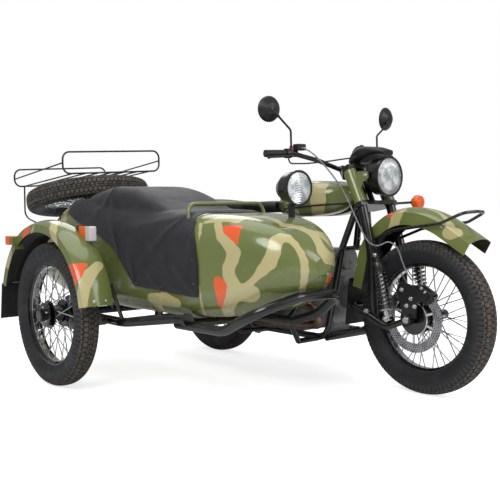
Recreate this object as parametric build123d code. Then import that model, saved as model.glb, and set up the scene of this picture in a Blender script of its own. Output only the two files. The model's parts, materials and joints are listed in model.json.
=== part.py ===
from build123d import *
from math import cos, radians, sin, tan
import os

# Sidecar motorcycle with a flat-twin engine, a leading-link fork and a covered sidecar on its right.
# Everything is laid out in one frame, in millimetres: X forward from the rear axle, Y to the rider's
# left, Z up from the ground.  The last lines move the whole model onto its own bottom centre.

# ---- driving dimensions ------------------------------------------------------------------------
wheelbase = 1500.0
tyreRadius = 345.0
tyreWidth = 112.0
rimBeadRadius = 242.0  # seat of the tyre on a 19 inch rim
rimWidth = 65.0
spokeCount = 40
spokeSize = 4.0
seatFit = 0.3  # gap left where curved pieces of one body meet
runningFit = 0.05  # radial gap of a journal
movingGap = 6.0  # gap kept between pieces that move past each other

wheelZ = tyreRadius
frontWheelAt = (wheelbase, 0.0, wheelZ)
rearWheelAt = (0.0, 0.0, wheelZ)
sidecarWheelAt = (200.0, -1150.0, wheelZ)  # the sidecar wheel leads the rear wheel by 200 mm
axleRadius = 10.0

headAngle = 25.0  # rake of the steering axis
steerFootX = 1570.0  # where the steering axis meets the ground
stemRadius = 15.0
headTubeRadius = 30.0
lowerYokeZ = 834.0
upperYokeZ = 1004.0
forkHalfWidth = 100.0
forkLegRadius = 23.0

frameTube = 16.0
spineTube = 22.0

boxerZ = 430.0  # height of the cylinder axis
boxerX = 850.0
boxerHalfWidth = 350.0
crankcaseHalfWidth = 140.0

sidecarY = -640.0
bodyWall = 3.0
sidecarTube = 21.0
clothGap = 0.4
clothThickness = 5.0

os.makedirs("parts", exist_ok=True)
parts = {}


# ---- small tools -------------------------------------------------------------------------------
def bar(start, end, radius):
    """Straight round bar from one point to another."""
    start, end = Vector(*start), Vector(*end)
    return Solid.make_cylinder(radius, (end - start).length, Plane(origin=start, z_dir=end - start))


def pipe(points, radius, bend):
    """Round bar along straight runs joined by arcs of one bend radius, or of one radius a corner."""
    path = FilletPolyline(*points, radius=bend)
    return sweep(Plane(origin=path @ 0, z_dir=path % 0) * Circle(radius), path=path)


def turned(outline, origin, axis, across):
    """Solid of revolution of (radius, along) points or of a sketch drawn in those coordinates."""
    if isinstance(outline, (list, tuple)):
        outline = make_face(Polyline(*outline, close=True))
    across, axis = Vector(*across), Vector(*axis)
    plane = Plane(origin=origin, x_dir=across, z_dir=across.cross(axis))
    return revolve(plane * outline, axis=Axis(origin, axis), revolution_arc=360)


def plate(outline, origin, thickness, normal=(0, 1, 0), x_dir=(1, 0, 0)):
    """Flat plate: an outline in its own plane, centred on that plane."""
    face = make_face(Polyline(*outline, close=True)) if isinstance(outline, (list, tuple)) else outline
    return extrude(Plane(origin=origin, x_dir=x_dir, z_dir=normal) * face, thickness / 2, both=True)


def block(low, high, rounding=0):
    """Box between two corners, with all its edges rounded if asked."""
    size = [b - a for a, b in zip(low, high)]
    centre = [(a + b) / 2 for a, b in zip(low, high)]
    box = Pos(*centre) * Box(*size)
    return fillet(box.edges(), rounding) if rounding else box


def hull(sections, y, inset=0.0):
    """Loft along X through rounded rectangles: rows of (x, half width, bottom, top, corner)."""
    faces = []
    for x, half, bottom, top, corner in sections:
        plane = Plane(origin=(x, y, (bottom + top) / 2), x_dir=(0, 1, 0), z_dir=(1, 0, 0))
        wide, high = 2 * (half - inset), top - bottom - 2 * inset
        round_ = min(max(corner - inset, 2.0), wide / 2 - 0.5, high / 2 - 0.5)
        faces.append(plane * RectangleRounded(wide, high, round_))
    return loft(faces)


def both(make):
    """A piece and its twin on the other side of the motorcycle's middle plane."""
    right = make(-1)
    return right + make(1)


def steer_x(z):
    """X of the steering axis at a height."""
    return steerFootX - z * sin(radians(headAngle)) / cos(radians(headAngle))


# ---- wheels ------------------------------------------------------------------------------------
hubRadius = 42.0
flangeRadius = 66.0
flangeHalf = 36.0
rimWellRadius = 228.0
rimWall = 4.0
flangeTip = 254.0


def wheel_at(centre, hubHalf, drum=0.0):
    """Rim, spokes and hub as one wheel on an axle along Y; drum widens the hub to a brake drum."""
    half = rimWidth / 2
    bead = rimBeadRadius - rimWall
    rim = turned(
        [(rimWellRadius, -14), (bead, -24), (bead, -half), (flangeTip, -half), (flangeTip, -half + 3),
         (rimBeadRadius, -half + 5), (rimBeadRadius, -22), (rimWellRadius + rimWall, -12),
         (rimWellRadius + rimWall, 12), (rimBeadRadius, 22), (rimBeadRadius, half - 5),
         (flangeTip, half - 3), (flangeTip, half), (bead, half), (bead, 24), (rimWellRadius, 14)],
        (0, 0, 0), (0, 1, 0), (1, 0, 0))
    bore = axleRadius + runningFit
    core = max(hubRadius, drum)
    hub = turned(
        [(bore, -hubHalf), (26, -hubHalf), (26, -flangeHalf - 8), (flangeRadius, -flangeHalf - 3),
         (flangeRadius, -flangeHalf + 3), (core, -flangeHalf + 8), (core, flangeHalf - 8),
         (max(flangeRadius, drum), flangeHalf - 3), (max(flangeRadius, drum), flangeHalf + 3),
         (26, flangeHalf + 8), (26, hubHalf), (bore, hubHalf)],
        (0, 0, 0), (0, 1, 0), (1, 0, 0))
    spokes = []
    for i in range(spokeCount):
        side = 1 if i % 2 else -1
        lean = 24.0 if i % 4 < 2 else -24.0
        turn = radians(360.0 / spokeCount * i)
        foot = turn + radians(lean)
        start = Vector((flangeRadius - 5) * sin(foot), side * flangeHalf, (flangeRadius - 5) * cos(foot))
        end = Vector((rimWellRadius + 2) * sin(turn), side * 3.0, (rimWellRadius + 2) * cos(turn))
        plane = Plane(origin=start, z_dir=end - start)
        spokes.append(extrude(plane * Rectangle(spokeSize, spokeSize), (end - start).length))
    wheel = rim.fuse(hub, *spokes)
    return Pos(*centre) * wheel


def tyre_at(centre):
    """Solid ring of the tyre's true section, from its bead on the rim out to the tread."""
    inner = rimBeadRadius + seatFit
    lip = rimWidth / 2 - 5 - seatFit
    wide = tyreWidth / 2
    tread = wide - 10
    section = make_face(Curve() + [
        Line((inner, -lip), (inner, lip)),
        Line((inner, lip), (flangeTip + 1.5, rimWidth / 2 - 3.5)),
        Line((flangeTip + 1.5, rimWidth / 2 - 3.5), (flangeTip + 3, rimWidth / 2 + 2)),
        ThreePointArc((flangeTip + 3, rimWidth / 2 + 2), (tyreRadius - 48, wide), (tyreRadius - 15, tread)),
        ThreePointArc((tyreRadius - 15, tread), (tyreRadius, 0), (tyreRadius - 15, -tread)),
        ThreePointArc((tyreRadius - 15, -tread), (tyreRadius - 48, -wide),
                      (flangeTip + 3, -rimWidth / 2 - 2)),
        Line((flangeTip + 3, -rimWidth / 2 - 2), (flangeTip + 1.5, -rimWidth / 2 + 3.5)),
        Line((flangeTip + 1.5, -rimWidth / 2 + 3.5), (inner, -lip)),
    ])
    return Pos(*centre) * turned(section, (0, 0, 0), (0, 1, 0), (1, 0, 0))


discY = -85.0
discRadius = 150.0
discInner = 108.0
discThickness = 5.0
hubHalfFront = 66.0
hubHalfRear = 62.0

plainWheel = wheel_at((0, 0, 0), hubHalfFront)  # front, sidecar and spare share it
frontHub = Pos(*frontWheelAt) * plainWheel
carrierOuter = discInner - seatFit
spider = turned([(26.0 - 2, discY + 3), (26.0 - 2, -hubHalfFront + 4), (52, -flangeHalf - 12),
                 (60, -flangeHalf - 12), (60, -flangeHalf - 16), (72, discY + 3)],
                frontWheelAt, (0, 1, 0), (1, 0, 0))
spiderFace = turned([(20, discY - 3), (72, discY - 3), (72, discY + 3), (20, discY + 3)],
                    frontWheelAt, (0, 1, 0), (1, 0, 0))
for i in range(10):
    turn = radians(36.0 * i)
    middle = (carrierOuter + 66) / 2
    centre = (wheelbase + middle * sin(turn), discY, wheelZ + middle * cos(turn))
    spiderFace += Pos(*centre) * Rot(0, 36.0 * i, 0) * Box(10, 6, carrierOuter - 66)
parts["front_wheel"] = frontHub.fuse(spider, spiderFace)
parts["front_tyre"] = tyre_at(frontWheelAt)
parts["front_disc"] = turned(
    [(discInner, discY - discThickness / 2), (discRadius, discY - discThickness / 2),
     (discRadius, discY + discThickness / 2), (discInner, discY + discThickness / 2)],
    frontWheelAt, (0, 1, 0), (1, 0, 0))
parts["rear_wheel"] = wheel_at(rearWheelAt, hubHalfRear, drum=95.0)
parts["rear_tyre"] = tyre_at(rearWheelAt)

hubCapRadius = 58.0
sidecarHub = Pos(*sidecarWheelAt) * plainWheel
sidecarCap = turned(
    [(0, -92), (24, -92), (30, -86), (30, -66), (hubCapRadius, -62), (hubCapRadius, -54), (25, -54),
     (25, -hubHalfRear - 0.0 + 12), (0, -hubHalfRear + 12)],
    sidecarWheelAt, (0, 1, 0), (1, 0, 0))
parts["sidecar_wheel"] = sidecarHub.fuse(sidecarCap)
parts["sidecar_tyre"] = tyre_at(sidecarWheelAt)

spareTilt = 11.6  # the spare lies on the lid, front end up
spareAt = (-380.0, sidecarY, 911.0)
toSpare = Pos(*spareAt) * Rot(0, -spareTilt, 0) * Rot(90, 0, 0)
parts["spare_wheel"] = toSpare * plainWheel
parts["spare_tyre"] = toSpare * tyre_at((0, 0, 0))

rearFenderRadius = tyreRadius + 50.0
rearFenderHalf = 78.0

# ---- motorcycle frame --------------------------------------------------------------------------
headTop = (steer_x(upperYokeZ - 16), 0, upperYokeZ - 16)
headFoot = (steer_x(lowerYokeZ + 16), 0, lowerYokeZ + 16)
cradleHalf = 150.0
cradleZ = 212.0
seatRailHalf = 105.0


seatTubeX = 438.0
engineFootX = (960.0, 740.0)
engineBarRadius = 13.0
fenderBarX = -30.0
tankGap = 4.0
pivotZ = 335.0


def frame_side(side):
    """One of the two mirrored tube runs: down tube, cradle, seat tube and seat rail."""
    return pipe([(1132, side * 22, 880), (1086, side * 100, 640), (1030, side * cradleHalf, cradleZ),
                 (480, side * cradleHalf, cradleZ), (seatTubeX, side * seatRailHalf, 300),
                 (seatTubeX, side * seatRailHalf, 778), (-70, side * seatRailHalf, 782)],
                frameTube, [60, 60, 50, 40, 60])


shockStudY = 150.0
spinePath = [(1128, 0, 925), (600, 0, 780), (seatTubeX, 0, 778)]
shockTopAt = (60.0, 770.0)
def spine_ring(share):
    """Rubber-faced collar on the spine tube that carries the tank."""
    start, end = Vector(*spinePath[0]), Vector(*spinePath[1])
    middle = start + (end - start) * share
    way = (end - start).normalized() * 20
    return bar(tuple(middle - way), tuple(middle + way), spineTube + tankGap - seatFit)


def crowned_fill(centre, radius, half, crown, gap):
    """Everything inside a mudguard's crowned outer surface, grown by a gap."""
    half, radius = half + gap, radius + gap
    face = make_face(Curve() + [
        Line((0, -half), (radius - crown, -half)),
        ThreePointArc((radius - crown, -half), (radius, 0), (radius - crown, half)),
        Line((radius - crown, half), (0, half)), Line((0, half), (0, -half))])
    return turned(face, centre, (0, 1, 0), (1, 0, 0))


rearFenderFill = crowned_fill(rearWheelAt, rearFenderRadius, rearFenderHalf, 22, seatFit)
frame = frame_side(-1).fuse(
    frame_side(1), bar(headFoot, headTop, headTubeRadius), pipe(spinePath, spineTube, 200),
    bar((seatTubeX, -seatRailHalf, 760), (seatTubeX, seatRailHalf, 760), spineTube - 2),
    bar((1030, -cradleHalf, cradleZ), (1030, cradleHalf, cradleZ), frameTube),
    bar((520, -cradleHalf, cradleZ), (520, cradleHalf, cradleZ), frameTube - 1.5),
    bar((engineFootX[0], -cradleHalf, cradleZ), (engineFootX[0], cradleHalf, cradleZ), engineBarRadius),
    bar((engineFootX[1], -cradleHalf, cradleZ), (engineFootX[1], cradleHalf, cradleZ), engineBarRadius),
    bar((fenderBarX, -seatRailHalf, 776), (fenderBarX, seatRailHalf, 776), 9),
    bar((fenderBarX, 0, 700), (fenderBarX, 0, 776), 14) - rearFenderFill,
    *[spine_ring(share) for share in (0.22, 0.75)],
    bar((shockTopAt[0], -shockStudY, shockTopAt[1]), (shockTopAt[0], shockStudY, shockTopAt[1]), 9),
    bar((1122, 0, 905), (1086, 0, 640), frameTube),
    bar((1086, -100, 640), (1086, 100, 640), 12))
frame = frame - bar((steer_x(700), 0, 700), (steer_x(1100), 0, 1100), stemRadius + runningFit)
standAt = (500.0, 0.0, 186.0)
standLug = [(482, 172), (518, 172), (522, 214), (478, 214)]
for side in (-1, 1):
    frame = frame.fuse(plate(standLug, (0, side * 131, 0), 8, normal=(0, -1, 0)),
                       bar((standAt[0], side * 130, standAt[2]), (standAt[0], side * 104, standAt[2]), 7))
parts["frame"] = frame

# ---- engine ------------------------------------------------------------------------------------
caseLow, caseHigh = (700.0, -crankcaseHalfWidth, 250.0), (1000.0, crankcaseHalfWidth, 545.0)
engine = block(caseLow, caseHigh, 30)
engine += turned([(0, 0), (88, 0), (88, 22), (70, 34), (0, 34)], (1000, 0, 410), (1, 0, 0), (0, 0, 1))
engine += bar((905, 0, 585), (1045, 0, 585), 54)  # dynamo on top of the case
engine += block((880, -40, 520), (1000, 40, 560))
engine += block((540, -105, 262), (702, 105, 470), 20)  # gearbox
engine += block((640, -60, 440), (702, 60, 520), 10)
for x in engineFootX:
    engine += block((x - 16, -70, cradleZ + engineBarRadius + seatFit), (x + 16, 70, 262))
parts["engine_case"] = engine


def finned(side):
    """Finned barrel between the case and the head."""
    start, end = crankcaseHalfWidth, 258.0
    outline = [(0, start), (62, start), (62, start + 6)]
    fins = 7
    pitch = (end - start - 12) / fins
    for i in range(fins):
        base = start + 6 + pitch * i
        outline += [(62, base + 3), (84, base + 4), (84, base + 8), (62, base + 9)]
    outline += [(62, end), (0, end)]
    return turned([(r, side * y) for r, y in outline], (boxerX, 0, boxerZ), (0, 1, 0), (1, 0, 0))


parts["cylinders"] = both(finned)


portFace, portY, portZ = 941.0, 288.0, 398.0  # where the exhaust pipe meets the head
pipeRadius = 21.0


def head(side):
    """Finned cylinder head with its rounded rocker cover and the exhaust port at its front."""
    outline = [(0, 258), (78, 258), (78, 264)]
    for i in range(3):
        base = 264 + 13 * i
        outline += [(70, base + 4), (88, base + 5), (88, base + 9), (70, base + 10)]
    outline += [(70, 306), (76, 308), (76, 322), (58, boxerHalfWidth - 8), (40, boxerHalfWidth),
                (0, boxerHalfWidth)]
    port = bar((portFace - 70, side * (portY + 6.4), portZ + 13.3), (portFace - 0.3, side * portY, portZ),
               pipeRadius + 3)
    return turned([(r, side * y) for r, y in outline], (boxerX, 0, boxerZ), (0, 1, 0), (1, 0, 0)) + port


parts["cylinder_heads"] = both(head)


def intake(side):
    """Carburettor behind each head and the tube to the air box."""
    y = side * 235
    return (bar((762, y, 470), (690, y, 492), 22)
            .fuse(bar((722, y, 430), (722, y, 545), 26),
                  pipe([(694, y, 491), (640, y, 505), (620, side * 150, 560), (620, side * 70, 570)],
                       20, 40)))


parts["intake"] = block((545, -72, 520), (690, 72, 655), 18).fuse(intake(-1), intake(1))

pegX, pegZ = 600.0, 305.0
pedalY, pedalZ = 262.0, 312.0


def foot_control(side):
    """Footrest on the frame's cradle and, ahead of it, the brake pedal on the right or gear lever on the left."""
    rest = pipe([(pegX, side * cradleHalf, cradleZ + frameTube + seatFit), (pegX, side * cradleHalf, pegZ),
                 (pegX, side * 292, pegZ)], 9, 24).fuse(
        bar((pegX, side * 196, pegZ), (pegX, side * 290, pegZ), 14))
    for i in range(6):  # ribs of the footrest's rubber
        y = side * (202 + 16 * i)
        rest = rest.fuse(bar((pegX, y, pegZ), (pegX, y + side * 6, pegZ), 16))
    pedal = pipe([(650, side * (105 + seatFit), 300), (650, side * 150, 300), (712, side * 190, pedalZ),
                  (712, side * pedalY, pedalZ)], 6, 14)
    pad = block((698, side * pedalY - 24, pedalZ - 7), (728, side * pedalY + 24, pedalZ + 9), 4) if side < 0 \
        else bar((712, pedalY - 30, pedalZ), (712, pedalY + 12, pedalZ), 11)
    return rest, pedal.fuse(pad)


mufflerRadius = 42.0
exhaustY = 225.0


def exhaust(side):
    """Header from the head's front, under the cylinder, to the silencer beside the rear wheel."""
    header = pipe([(portFace, side * portY, portZ), (1072, side * 276, 373), (1082, side * 240, 290),
                   (840, side * exhaustY, 264), (470, side * exhaustY, 262)],
                  pipeRadius, [34, 34, 200])
    can = turned([(0, 0), (pipeRadius + 3, 0), (mufflerRadius, 60), (mufflerRadius, 560), (26, 640), (0, 640)],
                 (490, side * exhaustY, 262), (-1, 0, 0), (0, 0, 1))
    return header.fuse(can)


parts["exhaust"] = both(exhaust)

kickLever = pipe([(575, 105 + seatFit, 400), (575, 150, 400), (548, 168, 470), (512, 172, 560), (512, 226, 566)],
                 8, [16, 40, 12]).fuse(bar((512, 184, 565), (512, 228, 566), 13))
footControls = kickLever
for side in (-1, 1):
    for piece in foot_control(side):
        footControls = footControls + piece
parts["foot_controls"] = footControls

# ---- tank, saddle and rear fender --------------------------------------------------------------
tankSections = [  # x, half width, bottom, top, corner
    (1106, 44, 872, 918, 22), (1078, 60, 846, 934, 30), (1040, 108, 822, 947, 50), (950, 150, 800, 963, 62),
    (800, 150, 792, 964, 60), (680, 112, 796, 928, 46), (622, 76, 808, 892, 34)]
tank = hull(tankSections, 0)
tunnel = pipe([(1170, 0, 936.5)] + spinePath[1:], spineTube + tankGap, 200)
tunnelSlot = plate([(1160, 930), (1160, 700), (560, 700), (560, 778), (600, 780)], (0, 0, 0),
                   2 * (spineTube + tankGap), normal=(0, -1, 0))
tank = tank - tunnel - tunnelSlot
capAt = (794.0, 0.0)
tankCap = Pos(capAt[0], capAt[1], 966) * Cylinder(34, 16, align=(Align.CENTER, Align.CENTER, Align.MIN))
tank = tank - Pos(capAt[0], capAt[1], 955) * Cylinder(34.3, 60, align=(Align.CENTER, Align.CENTER, Align.MIN))
parts["fuel_tank"] = tank
parts["tank_cap"] = Pos(0, 0, -11) * tankCap

saddleSections = [(604, 92, 815, 862, 20), (500, 140, 812, 866, 24), (260, 138, 812, 862, 24),
                  (110, 118, 818, 872, 24), (-60, 108, 822, 882, 24), (-130, 84, 828, 874, 20)]
parts["saddle"] = hull(saddleSections, 0)

def arch(centre, radius, half, depth, wall, start, end, crown=14.0):
    """Wheel arch: a crowned channel turned about a wheel axle from one angle to another (from +X up)."""
    outer = Curve() + [
        Line((radius - depth, -half), (radius - crown, -half)),
        ThreePointArc((radius - crown, -half), (radius, 0), (radius - crown, half)),
        Line((radius - crown, half), (radius - depth, half)),
        Line((radius - depth, half), (radius - depth, half - wall)),
        Line((radius - depth, half - wall), (radius - crown - wall, half - wall)),
        ThreePointArc((radius - crown - wall, half - wall), (radius - wall, 0),
                      (radius - crown - wall, wall - half)),
        Line((radius - crown - wall, wall - half), (radius - depth, wall - half)),
        Line((radius - depth, wall - half), (radius - depth, -half))]
    face = make_face(outer)
    ray = Vector(cos(radians(start)), 0, sin(radians(start)))
    plane = Plane(origin=centre, x_dir=ray, z_dir=ray.cross(Vector(0, 1, 0)))
    return revolve(plane * face, axis=Axis(centre, (0, -1, 0)), revolution_arc=end - start)


plateX = -418.0
plateHoleY = 60.0
plateHoleRadius = 3.5
rearFender = arch(rearWheelAt, rearFenderRadius, rearFenderHalf, 60, 3, 40, 172, crown=22)
fenderCore = crowned_fill(rearWheelAt, rearFenderRadius, rearFenderHalf, 22, -1)
plateBracket = block((plateX - 4, -90, 440), (plateX, 90, 505))
for side in (-1, 1):
    plateBracket = plateBracket - bar((plateX - 10, side * plateHoleY, 472),
                                      (plateX + 10, side * plateHoleY, 472), plateHoleRadius)
    plateBracket = plateBracket.fuse(bar((plateX - 2, side * 30, 470), (-360, side * 30, 462), 7) - fenderCore)
parts["rear_fender"] = rearFender.fuse(plateBracket)
parts["tail_lamp"] = block((-404, -44, 536), (-340, 44, 598), 8) - rearFenderFill

# ---- rear suspension ---------------------------------------------------------------------------
armHalf = 86.0
armRadius = 15.0
shockFootAt = (20.0, 372.0)


def swing_arm(side):
    """Arm from the pivot tube back to the axle, set out round the tyre."""
    return pipe([(seatTubeX, side * 68, pivotZ), (400, side * 68, pivotZ), (330, side * armHalf, pivotZ),
                 (0, side * armHalf, wheelZ)], armRadius, [60, 80]).fuse(
        bar((shockFootAt[0], side * armHalf, shockFootAt[1]),
            (shockFootAt[0], side * shockStudY, shockFootAt[1]), 9),
        bar((shockFootAt[0], side * armHalf, wheelZ), (shockFootAt[0], side * armHalf, shockFootAt[1]), 12))


pivotHalf = seatRailHalf - frameTube - seatFit
finalDrive = turned([(axleRadius, -68), (92, -68), (92, -82), (62, -104), (30, -114), (axleRadius, -114)],
                    rearWheelAt, (0, 1, 0), (1, 0, 0))
parts["swingarm"] = (bar((seatTubeX, -pivotHalf, pivotZ), (seatTubeX, pivotHalf, pivotZ), 20)
                     .fuse(swing_arm(-1), swing_arm(1), finalDrive,
                           bar((0, -118, wheelZ), (0, 108, wheelZ), axleRadius)))


def shock(top, foot, eyeRadius, eyeHalf, coil, bolt):
    """Spring damper between two eyes that lie along Y: rings stand for the turns of the spring."""
    top, foot = Vector(*top), Vector(*foot)
    way = (top - foot).normalized()
    length = (top - foot).length
    low, high = 46.0, length - 78.0
    turns = 9
    pitch = (high - low) / turns
    outline = [(0, eyeRadius - 6), (coil * 0.5, eyeRadius - 6), (coil * 0.5, low - 14), (coil, low - 12), (coil, low)]
    for i in range(turns):
        base = low + pitch * i
        outline += [(coil - 9, base + pitch * 0.25), (coil, base + pitch * 0.5), (coil, base + pitch * 0.8)]
    outline += [(coil, high + 8), (coil, length - 34), (coil * 0.6, length - 28),
                (coil * 0.5, length - eyeRadius + 6),
                (0, length - eyeRadius + 6)]
    body = turned(outline, tuple(foot), tuple(way), (0, 1, 0))
    half = Vector(0, eyeHalf, 0)
    for end in (top, foot):
        body = body.fuse(bar(tuple(end - half), tuple(end + half), eyeRadius))
    for end in (top, foot):
        body = body - bar(tuple(end - half * 2), tuple(end + half * 2), bolt + runningFit)
    return body


def rear_shock(side):
    return shock((shockTopAt[0], side * 138, shockTopAt[1]), (shockFootAt[0], side * 138, shockFootAt[1]),
                 17, 11.5, 26, 9)


parts["rear_shocks"] = both(rear_shock)

# ---- steering ----------------------------------------------------------------------------------
steerTop = (steer_x(upperYokeZ), 0.0, upperYokeZ)
steerFoot = (steer_x(lowerYokeZ), 0.0, lowerYokeZ)
steerPlane = Plane(origin=steerFoot, x_dir=(cos(radians(headAngle)), 0, sin(radians(headAngle))),
                   z_dir=Vector(*steerTop) - Vector(*steerFoot))
yokeSpan = (upperYokeZ - lowerYokeZ) / cos(radians(headAngle))
forkLead = 34.0  # the legs stand this far ahead of the steering axis
yokeHalf = 11.0
linkPivotAt = (1288.0, 110.0, 367.0)
shockHeadAt = (1332.0, 136.0, 622.0)
shockLinkAt = (1398.0, 136.0, 343.0)


def steer_point(lead, y, along):
    """Point given by its distance ahead of, beside and along the steering axis."""
    spot = steerPlane.from_local_coords(Vector(lead, y, along))
    return (spot.X, spot.Y, spot.Z)


def fork_leg(side):
    """Upper tube through both yokes, curving down to the pivot of the leading link."""
    leg = pipe([steer_point(forkLead, side * forkHalfWidth, yokeSpan + 14),
                steer_point(forkLead, side * forkHalfWidth, -10),
                (1276, side * 106, 640), (linkPivotAt[0], side * linkPivotAt[1], linkPivotAt[2] - 16)],
               forkLegRadius, [160, 200])
    bracket = plate([(1270, 600), (1340, 606), (1346, 634), (1270, 664)], (0, side * 112, 0), 8,
                    normal=(0, -1, 0))
    stud = bar((shockHeadAt[0], side * 110, shockHeadAt[2]), (shockHeadAt[0], side * 150, shockHeadAt[2]), 8)
    return leg.fuse(bracket, stud)


fork = fork_leg(-1).fuse(fork_leg(1), bar(steerFoot, steerTop, stemRadius))
yokeOutline = [(-22, -40), (18, -132), (58, -128), (66, -90), (58, 0), (66, 90), (58, 128), (18, 132), (-22, 40)]
topYokeOutline = [(-62, -40), (-56, -62)] + yokeOutline[1:-1] + [(-56, 62), (-62, 40)]
for along, outline in ((0, yokeOutline), (yokeSpan, topYokeOutline)):
    fork = fork.fuse(extrude(steerPlane.offset(along) * make_face(Polyline(*outline, close=True)),
                             yokeHalf, both=True))
linkPinRadius = 9.0
for side in (-1, 1):
    fork = fork - bar((linkPivotAt[0], side * 60, linkPivotAt[2]), (linkPivotAt[0], side * 160, linkPivotAt[2]),
                      linkPinRadius + runningFit)
parts["fork"] = fork

linkTube = 14.0
linkRearX = wheelbase - tyreRadius - linkTube - 14
linkY = linkPivotAt[1] + forkLegRadius + linkTube + 3


def link_side(side):
    """One side of the leading link, from the axle under the pivot and round behind the tyre."""
    return [(wheelbase, side * 122, wheelZ), (1400, side * linkY, 303), (linkPivotAt[0], side * linkY, 350),
            (1162, side * 112, 372), (linkRearX, side * 70, 378)]


linkPath = link_side(-1) + link_side(1)[::-1]
link = pipe(linkPath, linkTube, [60, 90, 90, 30, 30, 90, 90, 60])
for side in (-1, 1):
    link = link.fuse(
        bar((wheelbase, side * 106, wheelZ), (wheelbase, side * 140, wheelZ), 22),
        bar((linkPivotAt[0], side * 88, linkPivotAt[2]), (linkPivotAt[0], side * (linkY + 8), linkPivotAt[2]),
            linkPinRadius),
        bar((shockLinkAt[0], side * 120, shockLinkAt[2]), (shockLinkAt[0], side * 154, shockLinkAt[2]), 8),
        plate([(1374, 304), (1424, 304), (1412, 352), (1386, 352)], (0, side * 122, 0), 6, normal=(0, -1, 0)))
link = link.fuse(bar((wheelbase, -132, wheelZ), (wheelbase, 132, wheelZ), axleRadius))
parts["leading_link"] = link


def front_shock(side):
    return shock((shockHeadAt[0], side * 139, shockHeadAt[2]), (shockLinkAt[0], side * 139, shockLinkAt[2]),
                 16, 10, 25, 8)


parts["front_shocks"] = both(front_shock)

caliperSlot = discThickness + 2 * movingGap
caliperTurn = 62.0
caliper = Box(96, 52, 52)
caliper = fillet(caliper.edges().filter_by(Axis.Y), 14)
caliper = Pos(wheelbase + 128 * cos(radians(caliperTurn)), discY, wheelZ + 128 * sin(radians(caliperTurn))) \
    * Rot(0, 90 - caliperTurn, 0) * caliper
caliper = caliper - turned([(60, discY - caliperSlot / 2), (discRadius + movingGap, discY - caliperSlot / 2),
                            (discRadius + movingGap, discY + caliperSlot / 2), (60, discY + caliperSlot / 2)],
                           frontWheelAt, (0, 1, 0), (1, 0, 0))
caliperArm = plate([(1464, 358), (1430, 470), (1440, 512), (1500, 500), (1600, 462), (1590, 440), (1538, 420),
                    (1534, 350), (1500, 350)], (0, -112.5, 0), 9, normal=(0, -1, 0))
caliperArm = caliperArm - bar((wheelbase, -150, wheelZ), (wheelbase, -90, wheelZ), 22 + seatFit)
caliperSolid = caliper.fuse(caliperArm)
parts["brake_caliper"] = caliperSolid
hoseY = -150.0

barRadius = 11.0
barAt = steer_point(-50, 0, yokeSpan + yokeHalf + 28)
barHalf = [(barAt[0], 62, barAt[2]), (barAt[0] - 22, 190, barAt[2] + 42), (958, 300, 1094), (932, 446, 1090)]
barPath = [(x, -y, z) for x, y, z in barHalf[::-1]] + barHalf
barBends = [60, 60, 50, 50, 60, 60]
handlebar = pipe(barPath, barRadius, barBends)
barSpace = pipe(barPath, barRadius + seatFit, barBends)
for side in (-1, 1):
    handlebar = handlebar.fuse(bar(steer_point(-50, side * 48, yokeSpan + yokeHalf + seatFit),
                                   steer_point(-50, side * 48, yokeSpan + yokeHalf + 44), 15))
parts["handlebar"] = handlebar


def along_bar(share, side, lift=0.0):
    """Point on the straight end of the handlebar, from its inner end (0) to its tip (1)."""
    inner, outer = barHalf[2], barHalf[3]
    return (inner[0] + (outer[0] - inner[0]) * share, side * (inner[1] + (outer[1] - inner[1]) * share),
            inner[2] + (outer[2] - inner[2]) * share + lift)


def sleeve(side, first, last, radius):
    """Round sleeve on the straight end of the handlebar."""
    return bar(along_bar(first, side), along_bar(last, side), radius) \
        - bar(along_bar(first - 0.4, side), along_bar(last + 0.4, side), barRadius + seatFit)


def grip(side):
    return sleeve(side, 0.27, 1.0, 17)


def beside_bar(side, share, ahead, lift):
    """Point ahead of and above the straight end of the handlebar."""
    x, y, z = along_bar(share, side)
    return (x + ahead, y, z + lift)


def controls(side):
    """Switch housing, lever and its perch, the mirror's boss and, on the right, the brake reservoir."""
    pod = sleeve(side, 0.06, 0.255, 23)
    perch = sleeve(side, -0.16, 0.03, 18)
    lever = pipe([beside_bar(side, -0.06, 12, -6), beside_bar(side, 0.1, 44, -14),
                  beside_bar(side, 1.0, 26, -18)], 5, 18)
    knob = Pos(*beside_bar(side, 1.0, 26, -18)) * Sphere(8)
    boss = bar(beside_bar(side, 0.03, 0, 10), beside_bar(side, 0.03, 0, 34), 8)
    bridge = bar(beside_bar(side, 0.0, 0, 15), beside_bar(side, 0.1, 0, 17), 6)
    piece = pod.fuse(perch, lever, knob, boss, bridge)
    if side < 0:
        x, y, z = beside_bar(side, -0.2, 14, 30)
        piece = piece.fuse(block((x - 18, y - 26, z - 18), (x + 20, y + 26, z + 12), 4))
    return piece - barSpace


parts["grips"] = both(grip)
parts["hand_controls"] = both(controls)

reservoirAt = beside_bar(-1, -0.2, 14, 30)
hosePath = [(reservoirAt[0] + 32, reservoirAt[1], 1116), (1056, -262, 1092), (1118, -218, 1010), (1166, -168, 910),
            (1212, -152, 806), (1262, -150, 722), (1300, hoseY, 674), (1352, hoseY, 662), (1412, -148, 690),
            (1458, -140, 660), (1470, -128, 600), (1486, -112, 545), (1500, -98, 516)]
hoseRadius = 3.5


def smooth_bends(points):
    """Bend radii that let each arc take nearly half of the shorter run beside it."""
    bends = []
    for a, b, c in zip(points, points[1:], points[2:]):
        first, second = Vector(*b) - Vector(*a), Vector(*c) - Vector(*b)
        turn = radians(first.get_angle(second))
        bends.append(0.45 * min(first.length, second.length) / tan(turn / 2))
    return bends


def soft_tube(points, radius):
    """Hose or cable along a route, with arcs as large as its runs allow."""
    return pipe(points, radius, smooth_bends(points))


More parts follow.
